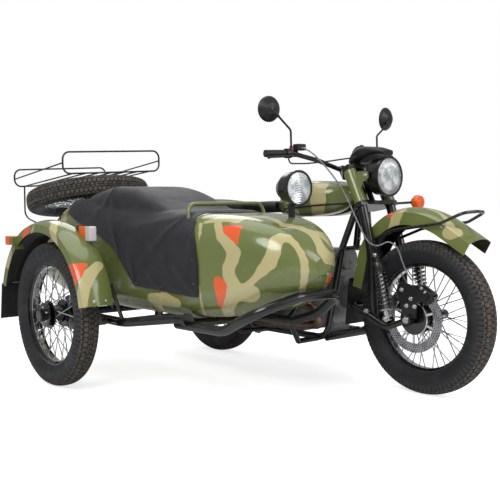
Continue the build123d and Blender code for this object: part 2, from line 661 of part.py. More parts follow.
brakeHose = soft_tube(hosePath, hoseRadius).fuse(
    bar((reservoirAt[0] + 20 + seatFit, reservoirAt[1], 1116), (reservoirAt[0] + 36, reservoirAt[1], 1116), 6))
leads = [[beside_bar(side, 0.15, 2, -24), beside_bar(side, 0.12, 8, -48), (1012, side * 262, 1044),
          (1072, side * 190, 1052), (1122, side * 122, 1064), (1148, side * 66, 1071)] for side in (-1, 1)]
parts["brake_hose"] = brakeHose - caliperSolid
parts["switch_leads"] = soft_tube(leads[0], 3.5) + soft_tube(leads[1], 3.5)

mirrorRadius = 60.0


def mirror(side):
    """Round mirror on a cranked stalk, its face turned back to the rider."""
    foot = beside_bar(side, 0.03, 0, 34 + seatFit)
    centre = Vector(928, side * 412, 1296)
    knee = (foot[0] - 2, foot[1], foot[2] + 74)
    back = Vector(-cos(radians(8)), -side * sin(radians(8)), 0.06)
    stalk = pipe([foot, knee, tuple(centre - back * 26 + Vector(4, -side * 36, -36))], 5, 22)
    arm = bar(tuple(centre - back * 26 + Vector(4, -side * 36, -36)), tuple(centre - back * 18), 7)
    glass = turned([(0, -30), (26, -24), (mirrorRadius - 6, -4), (mirrorRadius, 4), (mirrorRadius, 8),
                    (mirrorRadius - 4, 10), (0, 10)], tuple(centre), tuple(back.normalized()),
                   tuple(back.cross(Vector(0, 0, 1)).normalized()))
    return stalk.fuse(arm, glass)


parts["mirrors"] = both(mirror)

lampAt = (1296.0, 0.0, 978.0)
lampRadius = 93.0
lampDepth = 122.0
glassRadius = 84.0


def lamp_shell(depth, radius, glass):
    """Round lamp bucket open at the front, drawn as (radius, distance behind the rim)."""
    return [(glass, 0), (radius, 0), (radius, -16), (radius - 4, -20), (radius - 8, -depth * 0.55),
            (radius * 0.55, -depth * 0.92), (0, -depth), (0, -depth + 4), (radius * 0.5, -depth * 0.88),
            (radius - 14, -depth * 0.5), (glass, -14)]


def lamp_glass(glass, bulge):
    return [(0, -9), (glass - seatFit, -9), (glass - seatFit, -3), (glass * 0.6, bulge * 0.6), (0, bulge)]


headlampShell = turned(lamp_shell(lampDepth, lampRadius, glassRadius), lampAt, (1, 0, 0), (0, 0, 1))
lampBoltAt = (1232.0, 984.0)
lampEarY = 98.0
for side in (-1, 1):
    headlampShell = headlampShell.fuse(bar((lampBoltAt[0], side * 80, lampBoltAt[1]),
                                           (lampBoltAt[0], side * (lampEarY - 2 - seatFit), lampBoltAt[1]), 9))
parts["headlamp_shell"] = headlampShell
parts["headlamp_lens"] = turned(lamp_glass(glassRadius, 9), lampAt, (1, 0, 0), (0, 0, 1))

earRadius = 30.0
earHigh = yokeSpan - yokeHalf - 1


def fork_ear(side):
    """Painted sleeve over the fork leg between the yokes, with the lamp's mounting plate."""
    low = steer_point(forkLead, side * forkHalfWidth, yokeHalf + 1)
    high = steer_point(forkLead, side * forkHalfWidth, earHigh)
    ear = bar(low, high, earRadius)
    wing = plate([(1150, 905), (1186, 1004), (1248, 1002), (1252, 972), (1214, 950), (1196, 880)],
                 (0, side * lampEarY, 0), 4, normal=(0, -1, 0))
    ear = ear.fuse(wing)
    ear = ear - bar(steer_point(forkLead, side * forkHalfWidth, -20),
                    steer_point(forkLead, side * forkHalfWidth, yokeSpan + 20), forkLegRadius + seatFit)
    for along in (0, yokeSpan):
        ear = ear - (steerPlane.offset(along) * extrude(
            Rectangle(300, 400), yokeHalf + seatFit, both=True))
    return ear


parts["fork_ears"] = both(fork_ear)

cowlSections = [(1076, 40, 1044, 1066, 10), (1130, 60, 1048, 1112, 20), (1200, 58, 1074, 1120, 20),
                (1286, 34, 1076, 1100, 10)]
cowl = hull(cowlSections, 0).fuse(bar(steer_point(14, 0, yokeSpan + yokeHalf + seatFit),
                                      steer_point(14, 0, yokeSpan + yokeHalf + 46), 13))
parts["instrument_cowl"] = cowl

fenderHalf = 78.0
fenderWall = 2.5
fenderCrest = [(1112, 470), (1165, 700), (1330, 836), (1560, 836), (1790, 702)]
crestPath = FilletPolyline(*[(x, 0, z) for x, z in fenderCrest], radius=[300, 300, 450])


def channel(half, depth, wall, crown):
    """Cross-section of a crowned mudguard: x runs across, y points away from the wheel, crest at 0."""
    inner = half - wall
    return make_face(Curve() + [
        Line((-half, -depth), (-half, -crown)), ThreePointArc((-half, -crown), (0, 0), (half, -crown)),
        Line((half, -crown), (half, -depth)), Line((half, -depth), (inner, -depth)),
        Line((inner, -depth), (inner, -crown - wall)),
        ThreePointArc((inner, -crown - wall), (0, -wall), (-inner, -crown - wall)),
        Line((-inner, -crown - wall), (-inner, -depth)), Line((-inner, -depth), (-half, -depth))])


crestWay = crestPath % 0
crestPlane = Plane(origin=crestPath @ 0, x_dir=(0, 1, 0), z_dir=crestWay)
fenderSheet = sweep(crestPlane * channel(fenderHalf, 78, fenderWall, 22), path=crestPath)
parts["front_fender"] = fenderSheet

flapThickness = 5.0
parts["front_mudflap"] = plate([(1113.4, 500), (1118.4, 500), (1111.5, 470), (1091, 275), (1086, 275), (1106.5, 470)],
                               (0, 0, 0), 160, normal=(0, -1, 0))

guardPath = [(1286, -97, 693), (1403, -98, 735), (1650, -98, 768), (1748, -78, 812), (1762, 0, 816)]
guardPath = guardPath + [(x, -y, z) for x, y, z in guardPath[-2::-1]]
parts["fender_guard"] = pipe(guardPath, 7, [60, 90, 40, 60, 40, 90, 60])

indicatorAt = (1296.0, 200.0, 857.0)
stalkFoot = steer_point(44, 122, 0)
indicator = bar(stalkFoot, (indicatorAt[0] - 18, indicatorAt[1], indicatorAt[2]), 6)
indicator = indicator.fuse(turned([(0, -26), (20, -24), (34, -6), (34, 6), (30, 20), (0, 26)], indicatorAt,
                                  (1, 0, 0), (0, 0, 1)))
parts["front_indicator"] = indicator - fork

# ---- sidecar body ------------------------------------------------------------------------------
bodySections = [  # x, half width, bottom, top, corner
    (1486, 34, 575, 640, 30), (1436, 124, 536, 706, 80), (1320, 206, 452, 774, 110),
    (1030, 262, 376, 818, 120), (600, 270, 358, 832, 112), (150, 270, 358, 880, 112),
    (-120, 264, 366, 895, 112), (-385, 240, 400, 800, 108), (-590, 186, 466, 668, 84),
    (-650, 120, 512, 606, 44)]
lidGap = 5.0
bulkheadX = 140.0


def clip_x(piece, low, high):
    """Keep only the stretch of a piece between two X planes."""
    return piece & (Pos((low + high) / 2, sidecarY, 600) * Box(high - low, 900, 1400))


def prism(outline, low, high):
    """Upright prism over an outline drawn in plan."""
    return extrude(Plane(origin=(0, 0, low)) * make_face(Polyline(*outline, close=True)), high - low)


outerHull = hull(bodySections, sidecarY)
fenderY = -1160.0
sideFenderRadius = 452.0
sideFenderHalf = 76.0
fenderInnerY = fenderY + sideFenderHalf
seatHullInner = hull(bodySections, sidecarY, 1.0)
innerHull = hull([(x + (4 if x < 0 else -4) * (abs(x) > 600), *rest) for x, *rest in bodySections],
                 sidecarY, bodyWall)
shell = outerHull - clip_x(innerHull, bulkheadX, 1600) - clip_x(innerHull, -800, bulkheadX - 4)
cockpit = prism([(250, sidecarY - 205), (250, sidecarY + 205), (720, sidecarY + 205), (860, sidecarY + 130),
                 (860, sidecarY - 130), (720, sidecarY - 205)], 640, 1000)
lidRear, lidFront, lidHalf = -585.0, -30.0, 190.0


def lid_outline(grow):
    return [(lidFront + grow, sidecarY - lidHalf - grow), (lidFront + grow, sidecarY + lidHalf + grow),
            (-330, sidecarY + lidHalf + grow), (lidRear - grow, sidecarY + 120 + grow),
            (lidRear - grow, sidecarY - 120 - grow), (-330, sidecarY - lidHalf - grow)]


bodyShell = shell - cockpit - prism(lid_outline(lidGap), 560, 1000)
lid = shell & prism(lid_outline(0), 560, 1000)
hingeX = lidFront + lidGap / 2
hingeRise = 8.0
deckZ = clip_x(outerHull, hingeX - 12, hingeX + 12).bounding_box().max.Z
hingeZ = deckZ + hingeRise
knuckleRadius = 5.0
hingeHalf = 130.0


def leaf(x, y, half, toward):
    """Hinge leaf: a strap from a knuckle on the hinge line down to the panel beside it."""
    strap = block((min(x, x + toward), y - half, hingeZ - knuckleRadius), (max(x, x + toward), y + half, hingeZ - 1))
    foot = block((min(x + toward, x + toward * 0.7), y - half, hingeZ - hingeRise - 4),
                 (max(x + toward, x + toward * 0.7), y + half, hingeZ - 1))
    return strap.fuse(foot, bar((x, y - half, hingeZ), (x, y + half, hingeZ), knuckleRadius))


spareUp = (-sin(radians(spareTilt)), 0.0, cos(radians(spareTilt)))


def on_spare(along):
    """Point on the spare wheel's axis, measured up from its centre."""
    return tuple(c + along * u for c, u in zip(spareAt, spareUp))


pinHole = 3.0
for x, z in ((-60, 668), (-140, 590)):
    bodyShell = bodyShell.fuse(bar((x, sidecarY - 262, z), (x, fenderInnerY + seatFit, z), 11) - seatHullInner)
for side in (-1, 1):
    y = sidecarY + side * hingeHalf
    bodyShell = bodyShell.fuse(leaf(hingeX, y - side * 26, 12, 9))
    bodyShell = bodyShell.fuse(bar((hingeX, y - side * 26, hingeZ), (hingeX, y + side * 12, hingeZ),
                                   pinHole - runningFit))
    lid = lid.fuse(leaf(hingeX, y, 13, -26) - bar((hingeX, y - 20, hingeZ), (hingeX, y + 20, hingeZ), pinHole))
lid = lid.fuse(bar(on_spare(-118), on_spare(-hubHalfFront - seatFit), 26),
               bar(on_spare(-80), on_spare(hubHalfFront + 12), axleRadius),
               bar(on_spare(hubHalfFront + seatFit), on_spare(hubHalfFront + 12), 20))
parts["sidecar_body"] = bodyShell
parts["trunk_lid"] = lid

clothInset = -clothGap - clothThickness
tentSections = [(880, 150, 720, 832, 40), (640, 215, 720, 856, 50), (250, 225, 720, 950, 70),
                (60, 220, 720, 925, 60), (-60, 200, 720, 903, 40)]
clothOuter = hull(bodySections, sidecarY, clothInset) + hull(tentSections, sidecarY)
clothInner = hull(bodySections, sidecarY, -clothGap) + hull(tentSections, sidecarY, clothThickness)
clothSide = [(-205, 1000), (-205, 905), (-116, 813), (113, 712), (183, 579), (333, 498), (469, 450),
             (639, 403), (963, 386), (1026, 392), (1026, 640), (985, 740), (880, 800), (876, 1000)]
cloth = (clothOuter - clothInner) & plate(clothSide, (0, sidecarY, 0), 800, normal=(0, -1, 0))
cloth = cloth - prism([(-300, sidecarY - lidHalf - 12), (-300, sidecarY + lidHalf + 12),
                       (lidFront + 12, sidecarY + lidHalf + 12), (lidFront + 12, sidecarY - lidHalf - 12)],
                      600, 1000)
parts["tonneau"] = cloth

railX = 905.0
seatHull = hull(bodySections, sidecarY, -seatFit)
rail = pipe([(railX, sidecarY - 226, 740), (railX - 22, sidecarY - 212, 862), (railX - 22, sidecarY + 212, 862),
             (railX, sidecarY + 226, 740)], 9, 40)
parts["grab_rail"] = rail - seatHull

fogAt = (1262.0, -545.0, 924.0)
fogRadius = 76.0
fogShell = turned(lamp_shell(112, fogRadius, 68), fogAt, (1, 0, 0), (0, 0, 1))
fogStalk = bar((fogAt[0] - 50, fogAt[1], 700), (fogAt[0] - 50, fogAt[1], fogAt[2] - fogRadius + 12), 15) - seatHull
fogShell = fogShell.fuse(fogStalk, bar((fogAt[0] - 96, fogAt[1], fogAt[2]), (fogAt[0] - 122, fogAt[1], fogAt[2]), 6))
parts["fog_lamp_shell"] = fogShell
parts["fog_lamp_lens"] = turned(lamp_glass(68, 8), fogAt, (1, 0, 0), (0, 0, 1))

# ---- sidecar frame -----------------------------------------------------------------------------
frameNearY, frameFarY = -420.0, -1015.0
bumper = pipe([(60, frameNearY, 322), (1095, frameNearY - 4, 330), (1255, frameNearY - 8, 380),
               (1402, -455, 482), (1420, -700, 486), (1368, -895, 434), (1180, -900, 342), (850, -896, 338)],
              sidecarTube, [200, 300, 80, 80, 120, 160])
outrigger = pipe([(60, frameFarY, 330), (600, frameFarY, 330), (850, -908, 362), (948, -906, 366)],
                 sidecarTube, [220, 120])
chassis = bumper.fuse(
    outrigger, bar((880, -900, 340), (880, frameNearY, 330), 19),
    bar((120, frameFarY, 330), (120, frameNearY, 324), 19),
    bar((926, -906, 366), (948, -906, 366), 28), bar((560, frameFarY, 330), (560, frameNearY, 326), 15),
    *[bar((x, sidecarY + y, 330), (x, sidecarY + y, 370), 20) - seatHull for x in (120, 560) for y in (-160, 160)])
struts = [  # from the motorcycle frame, to the sidecar frame, radius
    ((980, -158, 206), (990, -300, 208), 13), ((990, -300, 208), (1060, frameNearY, 322), 13),
    ((1086, -106, 640), (1060, frameNearY, 340), 13),
    ((560, -158, 206), (560, -300, 208), 13), ((560, -300, 208), (560, frameNearY, 322), 13),
    ((438, -112, 640), (380, frameNearY, 332), 13)]
chassis = chassis.fuse(*[bar(a, b, r) for a, b, r in struts])
armPivotAt = (480.0, -1052.0, 335.0)
sidecarShockTop = (220.0, -1032.0, 632.0)
sidecarShockFoot = (262.0, -1032.0, 372.0)
upright = pipe([(190, frameFarY, 335), (195, -985, 440), (220, -985, 632)], 14, 60)
chassis = chassis.fuse(upright, bar((sidecarShockTop[0], -985, sidecarShockTop[2]),
                                    (sidecarShockTop[0], -1056, sidecarShockTop[2]), 9),
                       bar((armPivotAt[0], frameFarY, armPivotAt[2]),
                           (armPivotAt[0], armPivotAt[1] - 24, armPivotAt[2]), 10),
                       bar((590, frameFarY, 335), (576, -1066, 500), 9),
                       bar((576, -1060, 500), (576, fenderInnerY + seatFit, 500), 11))
eyeAt = (36.0, frameNearY, 322.0)
eyeRadius = 9.0
eyeHalf = 4.0
eye = bar((eyeAt[0], eyeAt[1], eyeAt[2] - eyeHalf), (eyeAt[0], eyeAt[1], eyeAt[2] + eyeHalf), 20)
eye = eye.fuse(block((eyeAt[0], eyeAt[1] - 20, eyeAt[2] - eyeHalf), (59.3, eyeAt[1] + 20, eyeAt[2] + eyeHalf)))
parts["tie_down_eye"] = eye - bar((eyeAt[0], eyeAt[1], 300), (eyeAt[0], eyeAt[1], 344), eyeRadius)
parts["sidecar_frame"] = chassis - frame

wheelInnerY = sidecarWheelAt[1] + hubHalfFront
armY = wheelInnerY + 8 + 16
axleEndY = sidecarWheelAt[1] - 40
sideArm = bar((armPivotAt[0] + 22, armY, armPivotAt[2]), (sidecarWheelAt[0] - 26, armY, wheelZ), 15)
sideArm = sideArm.fuse(
    bar((sidecarWheelAt[0], armY + 18, wheelZ), (sidecarWheelAt[0], armY - 17, wheelZ), 32),
    bar((armPivotAt[0], armY + 15, armPivotAt[2]), (armPivotAt[0], armY - 15, armPivotAt[2]), 24),
    bar((sidecarWheelAt[0], armY - 10, wheelZ), (sidecarWheelAt[0], axleEndY, wheelZ), axleRadius),
    turned([(26, -4), (84, -4), (84, 8), (40, 12), (26, 12)], (sidecarWheelAt[0], armY - 12, wheelZ), (0, 1, 0),
           (1, 0, 0)))
sideArm = sideArm.fuse(
    bar((sidecarShockFoot[0], armY, sidecarShockFoot[2]),
        (sidecarShockFoot[0], sidecarShockFoot[1] + 8, sidecarShockFoot[2]), 9),
    plate([(238, 345), (286, 345), (276, 386), (248, 386)], (0, armY, 0), 14, normal=(0, -1, 0)))
sideArm = sideArm - bar((armPivotAt[0], armY + 40, armPivotAt[2]), (armPivotAt[0], armY - 40, armPivotAt[2]),
                        10 + runningFit)
parts["sidecar_swingarm"] = sideArm
parts["sidecar_shock"] = shock(sidecarShockTop, sidecarShockFoot, 17, 11.5, 26, 9)

sideFender = arch((sidecarWheelAt[0], fenderY, wheelZ), sideFenderRadius, sideFenderHalf, 58, 2.5, 10, 164, crown=20)
fenderFill = crowned_fill((sidecarWheelAt[0], fenderY, wheelZ), sideFenderRadius, sideFenderHalf, 20, seatFit)
parts["sidecar_fender"] = sideFender
parts["sidecar_mudflap"] = plate([(-232, 468.4), (-226, 466.7), (-252, 285), (-258, 285)], (0, fenderY, 0), 150,
                                 normal=(0, -1, 0))
frontFenderLamp = block((430, -1126, 712), (500, -1094, 764), 4) - fenderFill
rearFenderLamp = block((-96, -1268, 672), (-52, -1220, 716), 4) - fenderFill
parts["fender_lamps"] = frontFenderLamp.fuse(rearFenderLamp)

# ---- spare wheel, luggage rack -----------------------------------------------------------------
rackTube = 5.0
rackHalf = 300.0
rackFrontX, rackRearX = -100.0, -700.0


rackRise = 24.0  # how much higher the rack is on the motorcycle's side
rackFrontZ, rackRearZ = 1041.0, 988.0
rackSlats = (-240, -160, -80, 0, 80, 160, 240)


def rack_point(x, across, z):
    """Point of the rack, across from its middle, on the slope up to the motorcycle."""
    return (x, sidecarY + across, z + rackRise * across / (2 * rackHalf))


def rack_loop(x, low, high):
    """Upright loop of the rack in two halves that meet in the middle."""
    halves = [pipe([rack_point(x, 0, low), rack_point(x, side * rackHalf, low), rack_point(x, side * rackHalf, high),
                    rack_point(x, 0, high)], rackTube, 40) for side in (-1, 1)]
    return halves[0].fuse(halves[1])


rackBars = [bar(rack_point(rackFrontX, y, rackFrontZ), rack_point(rackRearX, y, rackRearZ), rackTube - 1)
            for y in rackSlats]
for side in (-1, 1):
    y = side * rackHalf
    rackBars.append(bar(rack_point(rackFrontX, y, 1098), rack_point(rackRearX, y, 1030), rackTube - 1))
    rackBars.append(Solid(pipe([rack_point(rackRearX, side * 240, rackRearZ), (rackRearX - 4, sidecarY + side * 240, 800),
                                (-548, sidecarY + side * 90, 690)], rackTube - 0.5, 60).wrapped) - seatHull)
rackBars.append(bar(on_spare(hubHalfFront + 12 + seatFit), on_spare(hubHalfFront + 36), 12))
rack = rack_loop(rackFrontX, rackFrontZ, 1154).fuse(rack_loop(rackRearX, rackRearZ, 1085), *rackBars)
parts["luggage_rack"] = rack

# ---- centre stand, folded back under the engine ------------------------------------------------
standPin = 7.0
standHalf = 122.0
standReach = 190.0
stand = bar((standAt[0], -standHalf, standAt[2]), (standAt[0], standHalf, standAt[2]), 12)
for side in (-1, 1):
    stand = stand.fuse(bar((standAt[0], side * 100, standAt[2]),
                           (standAt[0] - standReach, side * 112, standAt[2] - 4), 9),
                       block((standAt[0] - standReach - 24, side * 112 - 14, standAt[2] - 14),
                             (standAt[0] - standReach + 20, side * 112 + 14, standAt[2] + 2)))
stand = stand.fuse(bar((standAt[0] - 130, -108, standAt[2]), (standAt[0] - 130, 108, standAt[2]), 8))
stand = stand - bar((standAt[0], -200, standAt[2]), (standAt[0], 200, standAt[2]), standPin + runningFit)
parts["centre_stand"] = stand

# ---- place the model on its own bottom centre and write it --------------------------------------
boxes = [piece.bounding_box() for piece in parts.values()]
middleX = (min(box.min.X for box in boxes) + max(box.max.X for box in boxes)) / 2
middleY = (min(box.min.Y for box in boxes) + max(box.max.Y for box in boxes)) / 2
groundZ = min(box.min.Z for box in boxes)
for name, piece in parts.items():
    export_step(Pos(-middleX, -middleY, -groundZ) * piece, f"parts/{name}.step")
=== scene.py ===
import json
import math
import bmesh
import bpy
import numpy as np
from mathutils import Matrix, Vector
from mathutils.bvhtree import BVHTree


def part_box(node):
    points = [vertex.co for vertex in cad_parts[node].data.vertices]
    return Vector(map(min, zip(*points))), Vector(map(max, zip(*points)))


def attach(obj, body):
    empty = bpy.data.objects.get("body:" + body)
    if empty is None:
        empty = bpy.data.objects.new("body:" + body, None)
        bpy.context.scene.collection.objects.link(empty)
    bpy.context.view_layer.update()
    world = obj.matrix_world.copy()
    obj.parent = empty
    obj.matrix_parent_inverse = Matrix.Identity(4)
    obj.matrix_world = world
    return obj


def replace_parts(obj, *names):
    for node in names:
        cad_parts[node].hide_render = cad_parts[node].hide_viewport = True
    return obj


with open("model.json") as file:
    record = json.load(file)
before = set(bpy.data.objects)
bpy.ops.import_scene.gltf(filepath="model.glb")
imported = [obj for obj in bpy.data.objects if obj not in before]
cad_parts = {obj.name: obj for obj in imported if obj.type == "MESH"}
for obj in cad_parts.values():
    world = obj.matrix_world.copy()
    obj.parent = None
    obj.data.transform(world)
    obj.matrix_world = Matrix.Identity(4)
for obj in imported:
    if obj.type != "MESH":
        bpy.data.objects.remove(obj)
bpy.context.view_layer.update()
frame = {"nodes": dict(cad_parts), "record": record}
cadNodes = frame["nodes"]
print("frame loaded with", len(cadNodes), "nodes")

# Lengths below are millimetres from the rear axle's middle on the ground: x forward, y to the rider's left, z up.
rearLow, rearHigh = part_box("rear_tyre")
basePoint = np.array([(rearLow.x + rearHigh.x) / 2, (rearLow.y + rearHigh.y) / 2, rearLow.z])


def place(points):
    # workshop millimetres to metres in the frame
    return np.asarray(points, float) / 1000 + basePoint


# spot in workshop millimetres, turns in degrees, lens and sensor in millimetres, shifts in picture widths
camera = {"spot": (3713.158, -2900.47, 861.204), "yaw": 140.478, "pitch": -3.674, "roll": -0.74,
          "lens": 57.63, "sensor": 36, "shiftX": 0.0209, "shiftY": 0.0101}


def makeCamera(c):
    yaw, pitch, roll = (math.radians(c[k]) for k in ("yaw", "pitch", "roll"))
    ahead = Vector((math.cos(yaw) * math.cos(pitch), math.sin(yaw) * math.cos(pitch), math.sin(pitch)))
    right = Vector((math.sin(yaw), -math.cos(yaw), 0))
    up = right.cross(ahead)
    turnedRight = right * math.cos(roll) + up * math.sin(roll)
    turnedUp = up * math.cos(roll) - right * math.sin(roll)
    data = bpy.data.cameras.new("camera")
    data.lens, data.sensor_width = c["lens"], c["sensor"]
    data.shift_x, data.shift_y = c["shiftX"], c["shiftY"]
    cam = bpy.data.objects.new("camera", data)
    turn = Matrix((turnedRight, turnedUp, -ahead)).transposed().to_4x4()
    cam.matrix_world = Matrix.Translation(Vector(place(c["spot"]))) @ turn
    bpy.context.scene.collection.objects.link(cam)
    bpy.context.scene.camera = cam


makeCamera(camera)
bpy.context.scene.view_settings.view_transform = "Standard"


class Field:
    # one socket of a material; each operation on it adds a node
    def __init__(self, finish, socket):
        self.finish, self.socket = finish, socket

    def math(self, operation, *others):
        return self.finish.node("ShaderNodeMath", {"operation": operation}, dict(enumerate((self, *others))))

    def __add__(self, other): return self.math("ADD", other)
    def __sub__(self, other): return self.math("SUBTRACT", other)
    def __mul__(self, other): return self.math("MULTIPLY", other)
    def least(self, other): return self.math("MINIMUM", other)
    def most(self, other): return self.math("MAXIMUM", other)
    def over(self, other): return self.math("GREATER_THAN", other)
    def under(self, other): return self.math("LESS_THAN", other)
    def size(self): return self.math("ABSOLUTE")
    def wave(self): return self.math("SINE")
    def part(self): return self.math("FRACT")
    def root(self): return self.math("SQRT")

    def ease(self, low, high, start=0.0, end=1.0):
        # smooth step: start where the field is low, end where it is high
        return self.finish.node("ShaderNodeMapRange", {"interpolation_type": "SMOOTHSTEP", "clamp": True},
                                {0: self, 1: low, 2: high, 3: start, 4: end})


class Finish:
    # a material: one Principled shader and one method that adds any other node
    def __init__(self, name, colour, roughness=0.5, **fixed):
        self.material = bpy.data.materials.new(name)
        self.material.use_nodes = True
        self.tree = self.material.node_tree
        self.shader = self.tree.nodes["Principled BSDF"]
        self.set("Base Color", colour)
        self.set("Roughness", roughness)
        for socket, value in fixed.items():
            self.set(socket.replace("_", " "), value)
        self.material.diffuse_color = (*self.shader.inputs["Base Color"].default_value[:3], 1)
        self.here = self.node("ShaderNodeTexCoord", {}, {}, "Object")

    def put(self, socket, value):
        if isinstance(value, Field):
            self.tree.links.new(value.socket, socket)
        elif isinstance(value, (tuple, list)) and len(value) == 3 and len(socket.default_value) == 4:
            socket.default_value = (*value, 1)
        else:
            socket.default_value = value

    def set(self, name, value):
        self.put(self.shader.inputs[name], value)

    def node(self, kind, settings, inputs, out=0):
        made = self.tree.nodes.new(kind)
        for key, value in settings.items():
            setattr(made, key, value)
        for key, value in inputs.items():
            self.put(made.inputs[key], value)
        return Field(self, made.outputs[out])

    def axes(self, vector=None):
        return [self.node("ShaderNodeSeparateXYZ", {}, {0: vector or self.here}, axis) for axis in "XYZ"]

    def vector(self, operation, *inputs, out=0, scale=None):
        sockets = dict(enumerate(inputs)) | ({} if scale is None else {3: scale})
        return self.node("ShaderNodeVectorMath", {"operation": operation}, sockets, out)

    def dot(self, first, second):
        return self.vector("DOT_PRODUCT", first, second, out=1)

    def fromPoint(self, point):
        # the way from a workshop point to the shaded point, in metres
        return self.vector("SUBTRACT", self.here, tuple(place(point)))

    def noise(self, scale, detail=3.0, rough=0.5, at=None):
        return self.node("ShaderNodeTexNoise", {}, {"Vector": at or self.here, "Scale": scale, "Detail": detail,
                                                    "Roughness": rough}, "Fac")

    def mottle(self, scale, low, high, detail=3.0, rough=0.5):
        # a roughness that drifts between two values
        return self.noise(scale, detail, rough).ease(0.3, 0.8, low, high)

    def blend(self, share, first, second):
        return self.node("ShaderNodeMix", {"data_type": "RGBA"}, {0: share, 6: first, 7: second}, 2)

    def wear(self, tone, roughness, height, depth, strength):
        # what varies over the surface; depth is the bump's, in metres
        self.set("Base Color", tone)
        self.set("Roughness", roughness)
        bump = {"Strength": strength, "Distance": depth, "Height": height}
        self.set("Normal", self.node("ShaderNodeBump", {}, bump, "Normal"))
        return self


def rgb(text):
    # a written sRGB colour as the linear values that the shader takes
    parts = [int(text[i:i + 2], 16) / 255 for i in (0, 2, 4)]
    return tuple(p / 12.92 if p < 0.04045 else ((p + 0.055) / 1.055) ** 2.4 for p in parts)


def shade(colour, gain, more=0.0):
    return tuple(min(1, c * gain + more) for c in colour)


def unit(way):
    return np.asarray(way, float) / np.linalg.norm(way)


def squareTo(axis):
    # two unit vectors square to a unit axis and to each other
    u = unit(np.cross(axis, (1, 0, 0) if abs(axis[0]) < 0.9 else (0, 0, 1)))
    return u, np.cross(axis, u)


def grid(points, closeRows=False, closeColumns=False):
    # points[row, column] joined into quads; closed ways join the last line to the first
    rows, columns = points.shape[:2]
    r = np.arange(rows if closeRows else rows - 1)[:, None]
    c = np.arange(columns if closeColumns else columns - 1)[None]
    nextR, nextC = (r + 1) % rows, (c + 1) % columns
    quads = np.stack([r * columns + c, r * columns + nextC, nextR * columns + nextC, nextR * columns + c], -1)
    return points.reshape(-1, 3), quads.reshape(-1, 4)


def capped(rings, middles):
    # end rings shrink to their middle points, which close the shape when doubles merge
    ends = [np.broadcast_to(middles[i], (1, *rings.shape[1:])) for i in (0, -1)]
    return grid(np.concatenate([ends[0], rings, ends[1]]), closeColumns=True)


def circle(steps):
    # cosines and sines of equal turns, ready to multiply rows of points
    t = np.linspace(0, 2 * np.pi, steps, endpoint=False)
    return np.cos(t)[:, None, None], np.sin(t)[:, None, None]


def lathe(profile, origin, axis=(0, 1, 0), steps=32, closed=False):
    # each (radius, along) of the profile goes round the axis: origin + axis along + radius (u cos t + v sin t)
    radius, along = np.asarray(profile, float).T[..., None]
    axis = unit(axis)
    u, v = squareTo(axis)
    cosine, sine = circle(steps)
    return grid(np.asarray(origin, float) + along * axis + radius * (cosine * u + sine * v), closeRows=True,
                closeColumns=closed)


def smoothPath(points, steps):
    # Catmull-Rom curve through the points: cubic between each pair, tangents from the neighbours
    p = np.asarray(points, float)
    p = np.vstack([2 * p[0] - p[1], p, 2 * p[-1] - p[-2]])
    spans = len(p) - 3
    t = np.linspace(0, spans, spans * steps + 1)
    i = np.minimum(t.astype(int), spans - 1)
    f = (t - i)[:, None]
    a, b, c, d = p[i], p[i + 1], p[i + 2], p[i + 3]
    return 0.5 * (2 * b + (c - a) * f + (2 * a - 5 * b + 4 * c - d) * f ** 2 + (3 * b - 3 * c + d - a) * f ** 3)


def tube(path, radius, sides):
    # a circle carried along the path: point + radius (n cos t + b sin t), with n and b square to the tangent
    tangent = np.gradient(path, axis=0)
    tangent /= np.linalg.norm(tangent, axis=1)[:, None]
    n = np.cross(tangent, np.linalg.svd(tangent)[2][-1])  # the last row is the way that the path bends least
    n /= np.linalg.norm(n, axis=1)[:, None]
    cosine, sine = (np.swapaxes(part, 0, 1) for part in circle(sides))
    return capped(path[:, None] + radius * (cosine * n[:, None] + sine * np.cross(tangent, n)[:, None]), path)


def join(*shapes):
    points, quads, count = [], [], 0
    for p, q in shapes:
        points.append(p)
        quads.append(q + count)
        count += len(p)
    return np.vstack(points), np.vstack(quads)


def addPiece(name, shape, finish, body, smooth=35, mend=True):
    # puts a shape in the scene in the frame's metres and lets it ride on a CAD body
    points, quads = shape
    mesh = bpy.data.meshes.new(name)
    mesh.vertices.add(len(points))
    mesh.vertices.foreach_set("co", place(points).ravel())
    mesh.loops.add(quads.size)
    mesh.loops.foreach_set("vertex_index", quads.ravel().astype(np.int32))
    mesh.polygons.add(len(quads))
    mesh.polygons.foreach_set("loop_start", np.arange(0, quads.size, 4, dtype=np.int32))
    mesh.update(calc_edges=True)
    mesh.validate()
    if mend:
        work = bmesh.new()
        work.from_mesh(mesh)
        bmesh.ops.remove_doubles(work, verts=work.verts, dist=2e-6)
        bmesh.ops.dissolve_degenerate(work, edges=work.edges, dist=1e-6)
        bmesh.ops.recalc_face_normals(work, faces=work.faces)
        work.to_mesh(mesh)
        work.free()
    mesh.polygons.foreach_set("use_smooth", np.ones(len(mesh.polygons), bool))
    mesh.set_sharp_from_angle(angle=math.radians(smooth))
    made = bpy.data.objects.new(name, mesh)
    bpy.context.scene.collection.objects.link(made)
    mesh.materials.append(finish.material)
    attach(made, body)
    return made


def dirt(f, scale=9.0, low=0.42, high=0.7):
    # broad soft patches, 0 to 1
    return f.noise(scale, 4, 0.55).ease(low, high)


def workshop(f):
    # the three coordinates in metres from the rear axle's middle on the ground
    return [axis - float(shift) for axis, shift in zip(f.axes(), basePoint)]


# Paint is laid in bands of (x, y, z, half width) points; a length along the painter's way counts a third,
# so a band keeps its width on a surface that slants away from the side where it was painted.
painter = {"way": np.array((-0.77, 0.636, -0.064)), "lost": 0.65, "melt": 0.012}


def thrown(f):
    along = f.dot(f.here, tuple(painter["way"])) * painter["lost"]
    return f.vector("SUBTRACT", f.here, f.vector("SCALE", tuple(painter["way"]), scale=along))


